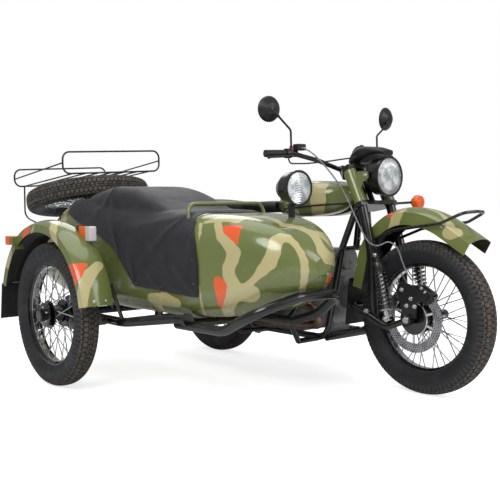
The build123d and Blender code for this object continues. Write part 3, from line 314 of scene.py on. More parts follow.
def bandField(f, at, bands):
    # metres outside the nearest band: |p - a - t (b - a)| - radius, with t kept between 0 and 1
    near = None
    for band in bands:
        spots = place([p[:3] for p in band])
        spots = spots - painter["lost"] * (spots @ painter["way"])[:, None] * painter["way"]
        widths = [p[3] / 1000 for p in band]
        for a, b, wide, nextWide in zip(spots, spots[1:], widths, widths[1:]):
            fromStart = f.vector("SUBTRACT", at, tuple(a))
            share = f.dot(fromStart, tuple((b - a) / ((b - a) @ (b - a)))).most(0).least(1)
            offset = f.vector("SUBTRACT", fromStart, f.vector("SCALE", tuple(b - a), scale=share))
            this = f.vector("LENGTH", offset, out=1) - (share * (nextWide - wide) + wide)
            near = this if near is None else near.math("SMOOTH_MIN", this, painter["melt"])
    return near


# Each wheel: its middle, the way of its axle and the body it turns with.
tyreRadius, spareTilt, crossways = 345, math.radians(11.6), (0, 1, 0)
wheels = {"front": ((1500, 0, tyreRadius), crossways, "front_wheel_body"),
          "rear": ((0, 0, tyreRadius), crossways, "rear_wheel_body"),
          "sidecar": ((200, -1150, tyreRadius), crossways, "sidecar_wheel_body"),
          "spare": ((-380, -640, 911), (-math.sin(spareTilt), 0, math.cos(spareTilt)), "trunk")}
camo = {"olive": rgb("6f7a41"), "khaki": rgb("bfb583"), "orange": rgb("ec5f2c"), "edge": 0.0012, "rough": 0.22,
        "dusty": 0.84, "freeScale": 2.1, "freeWidth": 0.032, "spotScale": 2.9, "spotLevel": 0.66}
# Bands by node: free is where noise takes over, over names the wheel that the fender stands over.
camoBands = {
    "sidecar_body": {
        "khaki": [
            [(1106, -863, 774, 17), (1150, -882, 728, 19), (1197, -880, 694, 23), (1222, -876, 664, 28),
             (1214, -878, 636, 26), (1195, -882, 602, 25), (1196, -882, 574, 25), (1213, -879, 542, 28),
             (1227, -871, 507, 36), (1192, -869, 469, 28), (1151, -854, 428, 25), (1130, -830, 385, 24)],
            [(1227, -871, 507, 36), (1291, -845, 501, 36)],
            [(1266, -861, 522, 17), (1312, -849, 559, 12), (1347, -832, 599, 22), (1372, -818, 629, 28),
             (1380, -803, 667, 27), (1378, -788, 709, 25), (1381, -764, 723, 19), (1399, -740, 721, 15),
             (1429, -731, 699, 12), (1451, -721, 662, 13), (1462, -716, 632, 15), (1465, -715, 594, 16),
             (1448, -704, 553, 14), (1416, -682, 519, 13), (1380, -640, 480, 14), (1328, -600, 457, 18),
             (1274, -589, 430, 8)],
            [(1020, -865, 784, 6), (1099, -829, 800, 16), (1166, -808, 800, 21), (1167, -733, 807, 16),
             (1193, -677, 803, 13), (1275, -684, 787, 12), (1318, -699, 774, 11), (1331, -664, 767, 11),
             (1353, -624, 754, 12), (1387, -602, 736, 16), (1433, -612, 708, 17), (1466, -620, 670, 22),
             (1474, -598, 643, 26), (1470, -540, 630, 28), (1440, -470, 610, 34), (1360, -430, 600, 26)],
            [(1002, -874, 775, 9), (1020, -891, 739, 6), (1018, -897, 703, 2)],
            [(1023, -899, 521, 2), (1022, -896, 479, 4), (1014, -882, 431, 5), (978, -839, 387, 6)],
            [(657, -900, 437, 23), (764, -901, 441, 31), (845, -894, 430, 22)],
            [(684, -890, 430, 24), (662, -860, 378, 24)],
            [(-195, -891, 791, 27), (-205, -880, 850, 24)]],
        "orange": [
            [(1152, -862, 762, 11), (1225, -840, 766, 8)],
            [(1160, -864, 754, 12), (1206, -862, 740, 20)],
            [(1174, -867, 748, 15), (1214, -857, 746, 17), (1217, -868, 729, 17), (1238, -868, 702, 5)],
            [(1137, -891, 544, 21), (1149, -889, 525, 27), (1147, -885, 488, 20), (1133, -877, 455, 12),
             (1120, -869, 438, 4)],
            [(1428, -545, 575, 14), (1418, -535, 548, 18), (1400, -530, 527, 9)]],
        "seed": 1.3, "free": lambda x, y, z: y.ease(-0.66, -0.5).most(x.ease(-0.2, -0.34))},
    "trunk_lid": {
        "khaki": [[(-334, -820, 800, 26), (-360, -800, 860, 28)]],
        "orange": [[(-345, -815, 815, 12), (-352, -805, 835, 12)]],
        "seed": 2.1, "free": lambda x, y, z: x.ease(-0.36, -0.46)},
    "front_fender": {
        "khaki": [[(1395, -20, 840, 17), (1395, -78, 791, 18), (1380, -78, 741, 20)],
                  [(1521, -13, 830, 7), (1579, -16, 815, 8), (1631, -36, 790, 10), (1670, -57, 758, 13)],
                  [(1670, -57, 758, 17), (1684, -78, 727, 26), (1712, -62, 730, 19)],
                  [(1300, 78, 800, 26), (1360, 60, 760, 30)], [(1560, 60, 800, 26), (1640, 78, 740, 30)]],
        "orange": [[(1353, -59, 812, 12), (1352, -74, 803, 14)], [(1480, 78, 780, 22), (1500, 78, 760, 22)]],
        "over": "front"},
    "sidecar_fender": {
        "khaki": [[(165, -1220, 785, 5), (142, -1236, 739, 7)],
                  [(298, -1191, 785, 19), (356, -1234, 747, 19), (377, -1236, 709, 15), (404, -1236, 682, 5)],
                  [(569, -1126, 591, 22), (594, -1179, 561, 26), (603, -1208, 521, 27), (612, -1228, 481, 27),
                   (618, -1236, 436, 25)],
                  [(-120, -1236, 640, 20), (-190, -1190, 560, 26), (-215, -1130, 480, 24)]],
        "orange": [[(103, -1236, 752, 16), (47, -1236, 721, 13)], [(523, -1236, 596, 11), (570, -1189, 599, 10)],
                   [(532, -1236, 582, 14), (574, -1210, 582, 14)],
                   [(544, -1236, 567, 16), (577, -1223, 563, 14), (565, -1236, 536, 12), (564, -1236, 518, 5)],
                   [(-205, -1150, 600, 20), (-220, -1130, 575, 14)]],
        "over": "sidecar"},
    "fuel_tank": {
        "khaki": [[(965, -100, 960, 30), (965, -137, 931, 34), (973, -145, 873, 35), (954, -127, 815, 29)],
                  [(810, -137, 816, 15), (800, -110, 796, 14)], [(740, -120, 940, 26), (700, -110, 900, 30)]],
        "orange": [[(860, -60, 962, 16), (890, -30, 966, 16)]],
        "seed": 0.4, "free": lambda x, y, z: y.ease(0.0, 0.06)},
    "rear_fender": {"khaki": [], "orange": [], "over": "rear", "seed": 4.0, "free": lambda x, y, z: x.ease(1.0, 0.9)},
}


def enamel(name, bands=None):
    # glossy coat over olive, with the khaki and orange of the bands, slight orange peel and dull dusty patches
    rough = camo["rough"]
    f = Finish(name, camo["olive"], rough, Coat_Weight=0.7, Coat_Roughness=0.08, Specular_IOR_Level=0.5)
    tone = f.blend(dirt(f, 2.2, 0.4, 0.75), camo["olive"], shade(camo["olive"], camo["dusty"]))
    roughness = f.mottle(14, rough - 0.04, rough + 0.1)
    if bands:
        at, seed = thrown(f), bands.get("seed", 0)
        marks = {colour: bandField(f, at, bands[colour]).ease(camo["edge"], -camo["edge"])
                 for colour in ("khaki", "orange") if bands[colour]}
        if "free" in bands:
            share = bands["free"](*workshop(f))
            at = f.vector("ADD", f.here, (seed, seed * 0.7, -seed))
            level = (f.noise(camo["freeScale"], 1.0, 0.3, at) - 0.5).size()
            aside = f.vector("ADD", at, (3.7, 1.3, 2.1))
            spot = f.noise(camo["spotScale"], 0.5, 0.2, aside) * share
            for colour, mark in (("khaki", (share * camo["freeWidth"] - level).ease(0.0, 0.004)),
                                 ("orange", spot.ease(camo["spotLevel"], camo["spotLevel"] + 0.005))):
                marks[colour] = mark.most(marks[colour]) if colour in marks else mark
        for colour, mark in marks.items():
            tone = f.blend(mark, tone, camo[colour])
    if bands and "over" in bands:
        # painted shade: the inner side of a fender, whose faces look towards its wheel's middle, is painted near black
        facing = f.node("ShaderNodeTexCoord", {}, {}, "Normal")
        paintedInsideShade = f.dot(facing, f.fromPoint(wheels[bands["over"]][0])).under(0.0)
        tone = f.blend(paintedInsideShade, tone, rgb("131312"))
        roughness = roughness + paintedInsideShade * 0.4
    return f.wear(tone, roughness, f.noise(420, 2), 0.00006, 0.35)


def blackPaint(name, roughness, tone="111112", coat=0.5):
    f = Finish(name, rgb(tone), roughness, Coat_Weight=coat, Coat_Roughness=0.12)
    worn = f.noise(30, 5, 0.65).ease(0.62, 0.8)
    return f.wear(f.blend(worn, rgb(tone), shade(rgb(tone), 1.6, 0.01)),
                  f.noise(12, 3).ease(0.3, 0.75, roughness, roughness + 0.14), f.noise(500, 2), 0.00005, 0.3)


def metal(name, colour, roughness, grain=700, stain=0.0):
    f = Finish(name, rgb(colour), roughness, Metallic=1.0)
    tone = f.blend(f.noise(11, 5, 0.6).ease(0.35, 0.8), rgb(colour), shade(rgb(colour), 0.72))
    if stain:
        tone = f.blend(f.noise(7, 5, 0.6).ease(0.42, 0.72) * stain, tone, (0.1, 0.06, 0.04))
    return f.wear(tone, f.mottle(26, roughness, roughness + 0.18, 4, 0.6), f.noise(grain, 3), 0.00012, 0.4)


def castAlloy(name):
    f = Finish(name, rgb("8b8d8e"), 0.42, Metallic=0.92)
    tone = f.blend(f.noise(16, 5, 0.6).ease(0.5, 0.78), rgb("9a9c9d"), rgb("55524e"))
    return f.wear(tone, f.mottle(60, 0.36, 0.6), f.noise(900, 4, 0.7), 0.00025, 0.55)


def plastic(name, tone, roughness=0.45, grain=1100, depth=0.00012):
    f = Finish(name, rgb(tone), roughness)
    return f.wear(f.blend(dirt(f, 18), rgb(tone), shade(rgb(tone), 1.35, 0.004)),
                  f.mottle(40, roughness - 0.06, roughness + 0.12), f.noise(grain, 3), depth, 0.5)


def lens(name, colour, backAt=None):
    # moulded lens: fine square prisms under a smooth clear face; behind backAt (workshop x, mm) the piece is black
    f = Finish(name, rgb(colour), 0.08, Coat_Weight=0.9, Coat_Roughness=0.03, IOR=1.49, Subsurface_Weight=0.15)
    x, y, z = f.axes()
    ribs = (z * 1100).wave() * 0.5 + ((x + y) * 1100).wave() * 0.5
    # the ribs make the colour lighter and darker in stripes: painted highlight and painted shade on the prisms
    tone, glow = f.blend(ribs.ease(-0.8, 0.8), shade(rgb(colour), 0.55), shade(rgb(colour), 1.3)), rgb(colour)
    if backAt is not None:
        ahead = (x - float(place((backAt, 0, 0))[0])).ease(-0.0005, 0.0005)
        tone, glow = f.blend(ahead, rgb("101112"), tone), f.blend(ahead, rgb("000000"), glow)
    # painted glow: the lens gives off faint light of its own colour
    f.set("Emission Strength", 0.12)
    f.set("Emission Color", glow)
    return f.wear(tone, 0.08, ribs, 0.0005, 0.6)


def mirrorLamp(name, centre, ribWay, bend):
    # reflector seen through fluted glass, its colour painted light: lighter and darker patches are a painted
    # reflection, the middle is grey, it is darker towards the edge, and the whole colour glows; the flutes bend a
    # little round the lamp's middle (workshop mm)
    f = Finish(name, rgb("e4e8ea"), 0.12, Metallic=0.75, Coat_Weight=1.0, Coat_Roughness=0.02)
    offset = f.fromPoint(centre)
    x, y, z = f.axes(offset)
    across, up = (y, z) if ribWay == "upright" else (z, y)
    flutes = ((across + up * up * bend) * 620).wave()
    away = (y * y + z * z).root()
    reflectionPatch = f.noise(22, 2, 0.5, offset)
    tone = f.blend(reflectionPatch.ease(0.4, 0.62), rgb("f4f6f7"), rgb("b4bcc1"))
    tone = f.blend(away.ease(0.02, 0.008), tone, rgb("c9ced2"))
    tone = f.blend(away.ease(0.058, 0.07) * 0.5, tone, rgb("5a6064"))
    # the painted colour also glows as emission: painted light
    f.set("Emission Color", tone)
    f.set("Emission Strength", 0.25)
    return f.wear(tone, flutes.ease(-1, 1, 0.05, 0.25), flutes + reflectionPatch * 3, 0.0016, 0.8)


def wheelPaint(name, centre, axis, spokes=(0.070, 0.229)):
    # black gloss rim and hub with bright spokes between them
    f = Finish(name, rgb("0f0f10"), 0.14, Coat_Weight=0.6, Coat_Roughness=0.08)
    offset = f.fromPoint(centre)
    along = f.dot(offset, tuple(unit(axis)))
    away = (f.dot(offset, offset) - along * along).root()
    bright = away.over(spokes[0]) * away.under(spokes[1])
    f.set("Metallic", bright)
    return f.wear(f.blend(bright, f.blend(dirt(f, 12), rgb("0f0f10"), rgb("1d1d1e")), rgb("d4d6d8")),
                  f.mottle(60, 0.1, 0.26), f.noise(600, 2), 0.00005, 0.3)


def drilledSteel(name, centre, holes=60, rows=((0.116, 0.0), (0.126, 0.5), (0.136, 0.0), (0.145, 0.5)), size=0.0033):
    # ground brake ring with drilled holes painted near black, a painted shade: hole middles stand at equal angles in
    # each row
    f = Finish(name, rgb("c9cbcd"), 0.24, Metallic=1.0)
    x, y, z = f.axes(f.fromPoint(centre))
    away = (x * x + z * z).root()
    turn = z.math("ARCTAN2", x) * (holes / (2 * math.pi))
    drilled = None
    for radius, phase in rows:
        aside = ((turn + (phase + 100.0)).part() - 0.5) * (2 * math.pi * radius / holes)
        hole = (aside * aside + (away - radius) * (away - radius)).root().ease(size, size * 0.75)
        drilled = hole if drilled is None else drilled.most(hole)
    rings = (away * 9000).wave()
    # the holes are painted near black: painted shade in them
    return f.wear(f.blend(drilled, f.blend(dirt(f, 25), rgb("c9cbcd"), rgb("a3a5a8")), rgb("0c0c0d")),
                  rings.ease(-1, 1, 0.2, 0.34), rings * 0.1 - drilled, 0.0006, 0.6)


def braid(name, tone):
    # woven steel sleeve: two sets of slanted strands
    f = Finish(name, rgb(tone), 0.3, Metallic=1.0)
    x, y, z = f.axes()
    weave = ((x + z * 1.4) * 2600).wave() * ((x - z * 1.4 + y) * 2600).wave()
    return f.wear(f.blend(weave.ease(-0.4, 0.5), shade(rgb(tone), 0.35), rgb(tone)), weave.ease(-1, 1, 0.5, 0.25),
                  weave, 0.0005, 0.7)


finishes = {
    "camo_paint": enamel("olive_enamel"),
    "black_paint": blackPaint("black_gloss_paint", 0.16),
    "black_satin": blackPaint("black_satin_paint", 0.34, "17171a", 0.2),
    "tyre": plastic("tyre_rubber", "2b2b2c", 0.62, 700, 0.0003),
    "rubber": plastic("moulded_rubber", "19191a", 0.6),
    "alloy": castAlloy("cast_alloy"),
    "brushed_steel": metal("bright_steel", "c8c9cb", 0.22),
    "exhaust_steel": metal("heat_browned_steel", "8d7464", 0.26, stain=0.6),
    "black_plastic": plastic("black_moulding", "161618", 0.4),
    "amber": lens("amber_lens", "ff5a08"),
    "red": lens("red_lens", "c81a10"),
    "lamp_glass": mirrorLamp("head_lamp_glass", (1296, 0, 978), "upright", 3.0),
    "black_cloth": plastic("cover_cloth_plain", "2a2a2e", 0.8),
    "saddle_vinyl": plastic("saddle_vinyl_plain", "1b1b1c", 0.5),
}
byNode = {
    "fog_lamp_lens": mirrorLamp("fog_lamp_glass", (1262, -545, 924), "level", 6.0),
    "front_disc": drilledSteel("drilled_disc_steel", wheels["front"][0]),
    "front_indicator": lens("front_indicator_lens", "ff5a08", backAt=1291),
    "brake_hose": braid("braided_hose_steel", "c6c8ca"),
}
byNode |= {node: enamel(node + "_enamel", bands) for node, bands in camoBands.items()}
byNode |= {name + "_wheel": wheelPaint(name + "_wheel_paint", at, axis) for name, (at, axis, body) in wheels.items()}
boltSteel = metal("zinc_plated_steel", "d6d8da", 0.2, grain=900)
springPaint = blackPaint("spring_black_gloss", 0.14, "0d0d0e", 0.8)
chrome = metal("polished_chrome", "e6e8ea", 0.1, grain=1200)
print("finishes made:", len(finishes) + len(byNode) + 3)


def dress(node, finish):
    # gives a CAD node a finish in every slot it has
    mesh = cadNodes[node].data
    if not mesh.materials:
        mesh.materials.append(finish.material)
    for i in range(len(mesh.materials)):
        mesh.materials[i] = finish.material


for part in frame["record"]["subparts"]:
    dress(part["node"], byNode.get(part["node"], finishes[part["material_slot"]]))
print("CAD nodes dressed")


# The run is the way over the tyre from its middle line, in mm; hexagon blocks fill the tread and ribs its shoulders.
tread = {"around": 88, "perBlock": 9, "rows": 50.0, "acrossBlock": 18, "fineEnd": 57.5, "edge": 50.0,
         "groove": (0.9, 2.2), "depth": 5.0, "middle": 2.2, "middleShare": 0.45, "split": 1.4, "ribEnd": 84.0,
         "ribDepth": 3.6, "ribShare": 0.34, "ridges": [(0.9, 100, 2.2), (0.7, 122, 2.0)]}
tyreSide = [(0, 345), (18, 344), (34, 339.5), (46, 331), (53, 317), (56, 299), (53.5, 279), (46, 262), (38, 252),
            (33.5, 244)]


def tyreFinish(name):
    # attribute "tread": red is 1 on a block and 0 in a groove, green is 1 on the tread and 0 on the wall
    f = Finish(name, rgb("2e2f32"), 0.55, Specular_IOR_Level=0.4)
    block, crown = f.axes(f.node("ShaderNodeAttribute", {"attribute_name": "tread"}, {}, "Color"))[:2]
    wall = f.blend(dirt(f, 10), rgb("242528"), rgb("303034"))
    worn = f.blend(f.noise(55, 4).ease(0.35, 0.7), rgb("5f5852"), rgb("3c3836"))
    # grooves are painted near black: painted shade in the recesses
    return f.wear(f.blend(crown, wall, f.blend(block, rgb("0c0c0c"), worn)), f.mottle(30, 0.5, 0.72) + crown * 0.1,
                  f.noise(650, 3), 0.0003, 0.5)


def hexagonEdge(u, v, pitch, rows):
    # distance to the line halfway between the nearest and each other point of a staggered lattice
    centres = np.array([((np.floor(u / pitch - shift) + stepU + shift) * pitch + 0 * v,
                         (np.floor(v / rows - shift) + stepV + shift) * rows + 0 * u)
                        for shift in (0, 0.5) for stepU in (0, 1) for stepV in (0, 1)])
    far = np.hypot(centres[:, 0] - u, centres[:, 1] - v)
    own = np.take_along_axis(centres, far.argmin(0)[None, None], 0)[0]
    between = np.hypot(centres[:, 0] - own[0], centres[:, 1] - own[1])
    return np.where(between > 1, (far ** 2 - far.min(0) ** 2) / (2 * np.maximum(between, 1)), 1e3).min(0)


def treadLift(u, v, pitch, c):
    # height over the smooth tyre at each turn u and run v, with the marks that the finish reads
    low, high = c["groove"]
    far = np.abs(v)
    split = far < 1
    block = np.clip((hexagonEdge(u, v, pitch, c["rows"]) - low) / (high - low), 0, 1)
    block = block * (1 - c["middleShare"] * split * (c["middle"] / c["depth"]))
    ribs = np.clip((c["ribShare"] + 0.04 - np.abs((u / pitch) % 1 - 0.5)) / 0.08, 0, 1)
    crown = np.clip((c["edge"] + 3 - far) / 4, 0, 1)
    shoulder = np.clip((c["ribEnd"] - far) / 8, 0, 1) * (1 - crown)
    drop = crown * (1 - block) * c["depth"] + crown * split * c["split"] \
        + shoulder * (1 - ribs) * c["ribDepth"] * np.clip((c["ribEnd"] - far) / 30, 0, 1)
    ridges = sum(height * np.exp(-((far - at) / wide) ** 2) for height, at, wide in c["ridges"])
    flat = 0 * block
    marks = np.stack([crown * block * (1 - split) + (1 - crown) * ribs, np.clip(crown + shoulder * 0.3, 0, 1) + flat,
                      flat, flat + 1], -1)
    return ridges - drop, marks


def tyreShape(origin, axis, c):
    around = c["around"] * c["perBlock"]
    half = smoothPath(tyreSide, 40)
    run = np.concatenate([[0], np.cumsum(np.linalg.norm(np.diff(half, axis=0), axis=1))])
    stops = np.concatenate([np.arange(0, c["fineEnd"], c["rows"] / c["acrossBlock"]), np.arange(60, c["ribEnd"] + 1, 4),
                            np.linspace(c["ribEnd"] + 6, run[-1], 9)])
    s = np.concatenate([-stops[:0:-1], stops])
    aside = np.interp(np.abs(s), run, half[:, 0]) * np.where(s < 0, -1, 1)
    away = np.interp(np.abs(s), run, half[:, 1])
    slope = np.stack([np.gradient(aside, s), np.gradient(away, s)], 1)
    slope /= np.linalg.norm(slope, axis=1)[:, None]
    pitch = 2 * math.pi * tyreRadius / c["around"]
    lift, marks = treadLift(np.arange(around)[:, None] * (pitch / c["perBlock"]), s[None], pitch, c)
    # the normal of the section is (-slope away, slope aside); each point then turns about the axle
    along = (aside[None] - slope[:, 1] * lift)[..., None]
    radius = (away[None] + slope[:, 0] * lift)[..., None]
    axis = unit(axis)
    across, up = squareTo(axis)
    turn = np.arange(around)[:, None, None] * (2 * math.pi / around)
    points = np.asarray(origin, float) + along * axis + radius * (np.cos(turn) * across + np.sin(turn) * up)
    return grid(points, closeRows=True, closeColumns=True), marks.reshape(-1, 4)


def addTyre(wheel, rubber):
    origin, axis, body = wheels[wheel]
    shape, marks = tyreShape(origin, axis, tread)
    made = addPiece(wheel + "_tyre_tread", shape, rubber, body, smooth=40, mend=False)
    layer = made.data.color_attributes.new("tread", "FLOAT_COLOR", "POINT")
    layer.data.foreach_set("color", marks.astype(np.float32).ravel())
    work = bmesh.new()
    work.from_mesh(made.data)
    bmesh.ops.recalc_face_normals(work, faces=work.faces)
    if work.calc_volume(signed=True) < 0:
        bmesh.ops.reverse_faces(work, faces=work.faces)
    work.to_mesh(made.data)
    work.free()
    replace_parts(made, wheel + "_tyre")


tyreRubber = tyreFinish("treaded_tyre_rubber")
for wheel in wheels:
    addTyre(wheel, tyreRubber)
print("tyres made")


def probe(*nodes):
    # a tree of the nodes' triangles, for finding the surface that a piece sits on
    points, faces, count = [], [], 0
    for node in nodes:
        mesh = cadNodes[node].data
        spots, corners = np.empty(len(mesh.vertices) * 3, np.float32), np.empty(len(mesh.polygons) * 3, np.int32)
        mesh.vertices.foreach_get("co", spots)
        mesh.polygons.foreach_get("vertices", corners)
        points.append(spots.reshape(-1, 3))
        faces.append(corners.reshape(-1, 3) + count)
        count += len(mesh.vertices)
    return BVHTree.FromPolygons(np.vstack(points).tolist(), np.vstack(faces).tolist())


def cast(tree, start, way):
    # where a ray from a workshop point first meets the tree, in workshop millimetres, or None
    hit = tree.ray_cast(Vector(place(start)), Vector(way).normalized())[0]
    return None if hit is None else (np.array(hit) - basePoint) * 1000


def boltShape(seat, way, across, height):
    # a washer, a chamfered head and a rounded end, from a seat point outwards
    r = across / 2
    return lathe([(0, -1.0), (r * 1.35, -1.0), (r * 1.35, 0.16 * height), (r, 0.18 * height), (r, 0.82 * height),
                  (r * 0.86, height), (r * 0.45, height), (r * 0.42, height * 1.25), (0, height * 1.35)],
                 seat, way, steps=18)


seatSearch = {"start": 120, "farthest": 60}


def seated(tree, spot, way, across, height):
    # a bolt that is slid along its own way until it meets the part that carries it
    way, spot = unit(way), np.asarray(spot, float)
    hit = cast(tree, spot + way * seatSearch["start"], -way)
    if hit is None or np.linalg.norm(hit - spot) > seatSearch["farthest"]:
        print("no seat for a bolt at", spot)
        hit = spot
    return boltShape(hit, way, across, height)


def onBothSides(*bolts):
    # ((x, y, z), width, height) on the left and mirrored on the right, each pointing away from the middle plane
    return [((x, side * y, z), (0, side, 0), across, height) for side in (-1, 1) for (x, y, z), across, height in bolts]


# Each bolt: (x, y, z), the way it points, width over its head, height.
right, back = (0, -1, 0), (-1, 0, 0)
boltRows = {
    "front_bolts": {
        "body": "steering", "nodes": ("brake_caliper", "leading_link", "fork", "front_fender", "fork_ears"),
        "bolts": [((1436, -112, 499), right, 15, 9), ((1458, -112, 474), right, 15, 9),
                  ((1508, -112, 438), right, 15, 9), ((1485, -112, 405), right, 15, 9),
                  ((1529, -112, 405), right, 15, 9), ((1560, -112, 486), right, 11, 7),
                  ((1580, -112, 470), right, 11, 7), ((1180, -78, 690), right, 10, 6)]
        + onBothSides(((1288, 130, 367), 20, 11), ((1398, 160, 343), 18, 10), ((1332, 160, 622), 18, 10),
                      ((1500, 160, 345), 22, 12), ((1640, 78, 752), 10, 6), ((1232, 104, 984), 17, 8))},
    "frame_bolts": {
        "body": "chassis", "nodes": ("frame", "swingarm", "sidecar_frame", "sidecar_fender", "rear_shocks",
                                     "sidecar_shock", "engine_case", "cylinders", "sidecar_swingarm"),
        "bolts": [((625, -1185, 440), (1, -0.2, 0.25), 11, 6), ((625, -1130, 440), (1, 0.2, 0.25), 11, 6),
                  ((-222, -1200, 470), back, 11, 6), ((-222, -1120, 470), back, 11, 6)]
        + onBothSides(((60, 152, 770), 16, 8), ((20, 152, 372), 16, 8))},
}
for name, row in boltRows.items():
    tree = probe(*row["nodes"])
    addPiece(name, join(*(seated(tree, *bolt) for bolt in row["bolts"])), boltSteel, row["body"],
             smooth=30)
print("bolts seated")


def helix(foot, way, low, high, radius, wire, turns, sides=8):
    # centre line: foot + way h + radius (cos t, sin t), whose first and last turns lie flat
    u = unit(np.cross(way, crossways))
    v = np.cross(way, u)
    t = np.linspace(0, 1, int(turns * 26) + 1)
    rise = np.clip((t - 0.6 / turns) / (1 - 1.2 / turns), 0, 1)
    ring = np.cos(2 * np.pi * turns * t)[:, None] * u + np.sin(2 * np.pi * turns * t)[:, None] * v
    centre = foot + (low + (high - low) * rise)[:, None] * way + radius * ring
    cosine, sine = (np.swapaxes(part, 0, 1) for part in circle(sides))
    return capped(centre[:, None] + wire * (cosine * ring[:, None] + sine * way), centre)


# Pairs run from the upper eye's middle to the lower one's; coil is the outer radius.
dampers = {
    "front_shocks": {"body": "steering", "coil": 30, "wire": 5.2, "turns": 10.5,
                     "ends": [((1332, s * 139, 622), (1398, s * 139, 343)) for s in (-1, 1)]},
    "rear_shocks": {"body": "chassis", "coil": 26, "wire": 5.0, "turns": 12.5,
                    "ends": [((60, s * 138, 770), (20, s * 138, 372)) for s in (-1, 1)]},
    "sidecar_shock": {"body": "chassis", "coil": 26, "wire": 5.0, "turns": 9.5,
                      "ends": [((220, -1032, 632), (262, -1032, 372))]},
}
damper = {"coilStart": 44, "coilStop": 74, "rod": 13, "foot": 14, "eye": 17, "bore": 10.1, "eyeHalf": 12}


def damperShapes(top, foot, c, d):
    # the coil, the bright rod with its lower seat and eye, and the black can with the upper eye
    top, foot = np.array(top, float), np.array(foot, float)
    length = np.linalg.norm(top - foot)
    way = (top - foot) / length
    low, high, coil = d["coilStart"], length - d["coilStop"], c["coil"]
    eye = [(d["bore"], -d["eyeHalf"]), (d["eye"] - 1.5, -d["eyeHalf"]), (d["eye"], 2 - d["eyeHalf"]),
           (d["eye"], d["eyeHalf"] - 2), (d["eye"] - 1.5, d["eyeHalf"]), (d["bore"], d["eyeHalf"])]
    rod = [(0, low - 4), (d["rod"], low - 4), (d["rod"], high + 2), (0, high + 2)]
    seat = [(0, 10), (d["foot"], 10), (d["foot"] + 1, 30), (coil - 4, 33), (coil - 1, 36), (coil - 1, low - 2),
            (0, low - 2)]
    can = [(0, high), (coil - 1, high), (coil, high + 3), (coil, length - 38), (coil - 4, length - 32),
           (15, length - 28), (d["rod"], length - 8), (0, length - 8)]
    return (helix(foot, way, low, high, coil - c["wire"], c["wire"] - 0.2, c["turns"]),
            join(lathe(rod, foot, way, 24), lathe(seat, foot, way), lathe(eye, foot, closed=True)),
            join(lathe(can, foot, way), lathe(eye, top, closed=True)))


for name, c in dampers.items():
    springs, bright, dark = (join(*shapes) for shapes in zip(*(damperShapes(*pair, c, damper) for pair in c["ends"])))
    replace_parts(addPiece(name + "_coils", springs, springPaint, c["body"], smooth=60), name)
    addPiece(name + "_bright", bright, chrome, c["body"])
    addPiece(name + "_cans", dark, finishes["black_satin"], c["body"])
print("spring dampers made")


# The cockpit cover is one sheet hung over the body from hem to hem. hem and front give its edge as (x, z), the cut
# leaves the middle of its rear free, and raised, lowest and clear are heights over the skin.
cover = {"middle": (-640, 560), "cutX": -18, "cutHalf": 202, "rearX": -178, "frontX": 1022, "topX": 925, "insideX": 400,
         "hem": [(-205, 905), (-116, 820), (0, 776), (127, 742), (225, 710), (347, 656), (418, 596), (471, 542),
                 (530, 486), (624, 483), (797, 480), (962, 468), (1022, 470)],
         "front": [(1022, 611), (1004, 711), (970, 784), (935, 808), (925, 1000)],
         "rayStart": 900, "noHit": 300, "stations": 90, "turns": 131, "turn": 2.6, "fineTurns": 900,
         "fineStations": 480, "columns": 150, "rows": 110, "softened": 4, "thick": 1.6, "flat": (1.22, 1.62),
         "waves": [(1.6, 170, 3, 1), (0.8, 60, 5, 1), (0.5, 34, 8, 2.2)],
         "edgeColumns": 20, "edgeRows": 14, "edgeShare": 0.35, "raised": 1.8, "lowest": 0.2, "roll": (1.4, 0.22, 0.1),
         "clear": 1.2}


def skinTable(c, stations, turns):
    # the outer skin where rays towards the body's middle line meet it, at each station x and turn a about that line
    tree = probe("tonneau", "sidecar_body")

    def skin(x, a):
        start, way = np.array((x, *c["middle"])), np.array((0, math.sin(a), math.cos(a)))
        hit = cast(tree, start + way * c["rayStart"], -way)
        return hit if hit is not None else start + way * c["noHit"]

    table = np.array([[skin(x, a) for a in turns] for x in stations])
    table[..., 0] = stations[:, None]
    return table


def runLength(good):
    # how many values are true from the start of each row
    return np.array([np.argmin(np.append(row, False)) for row in good])


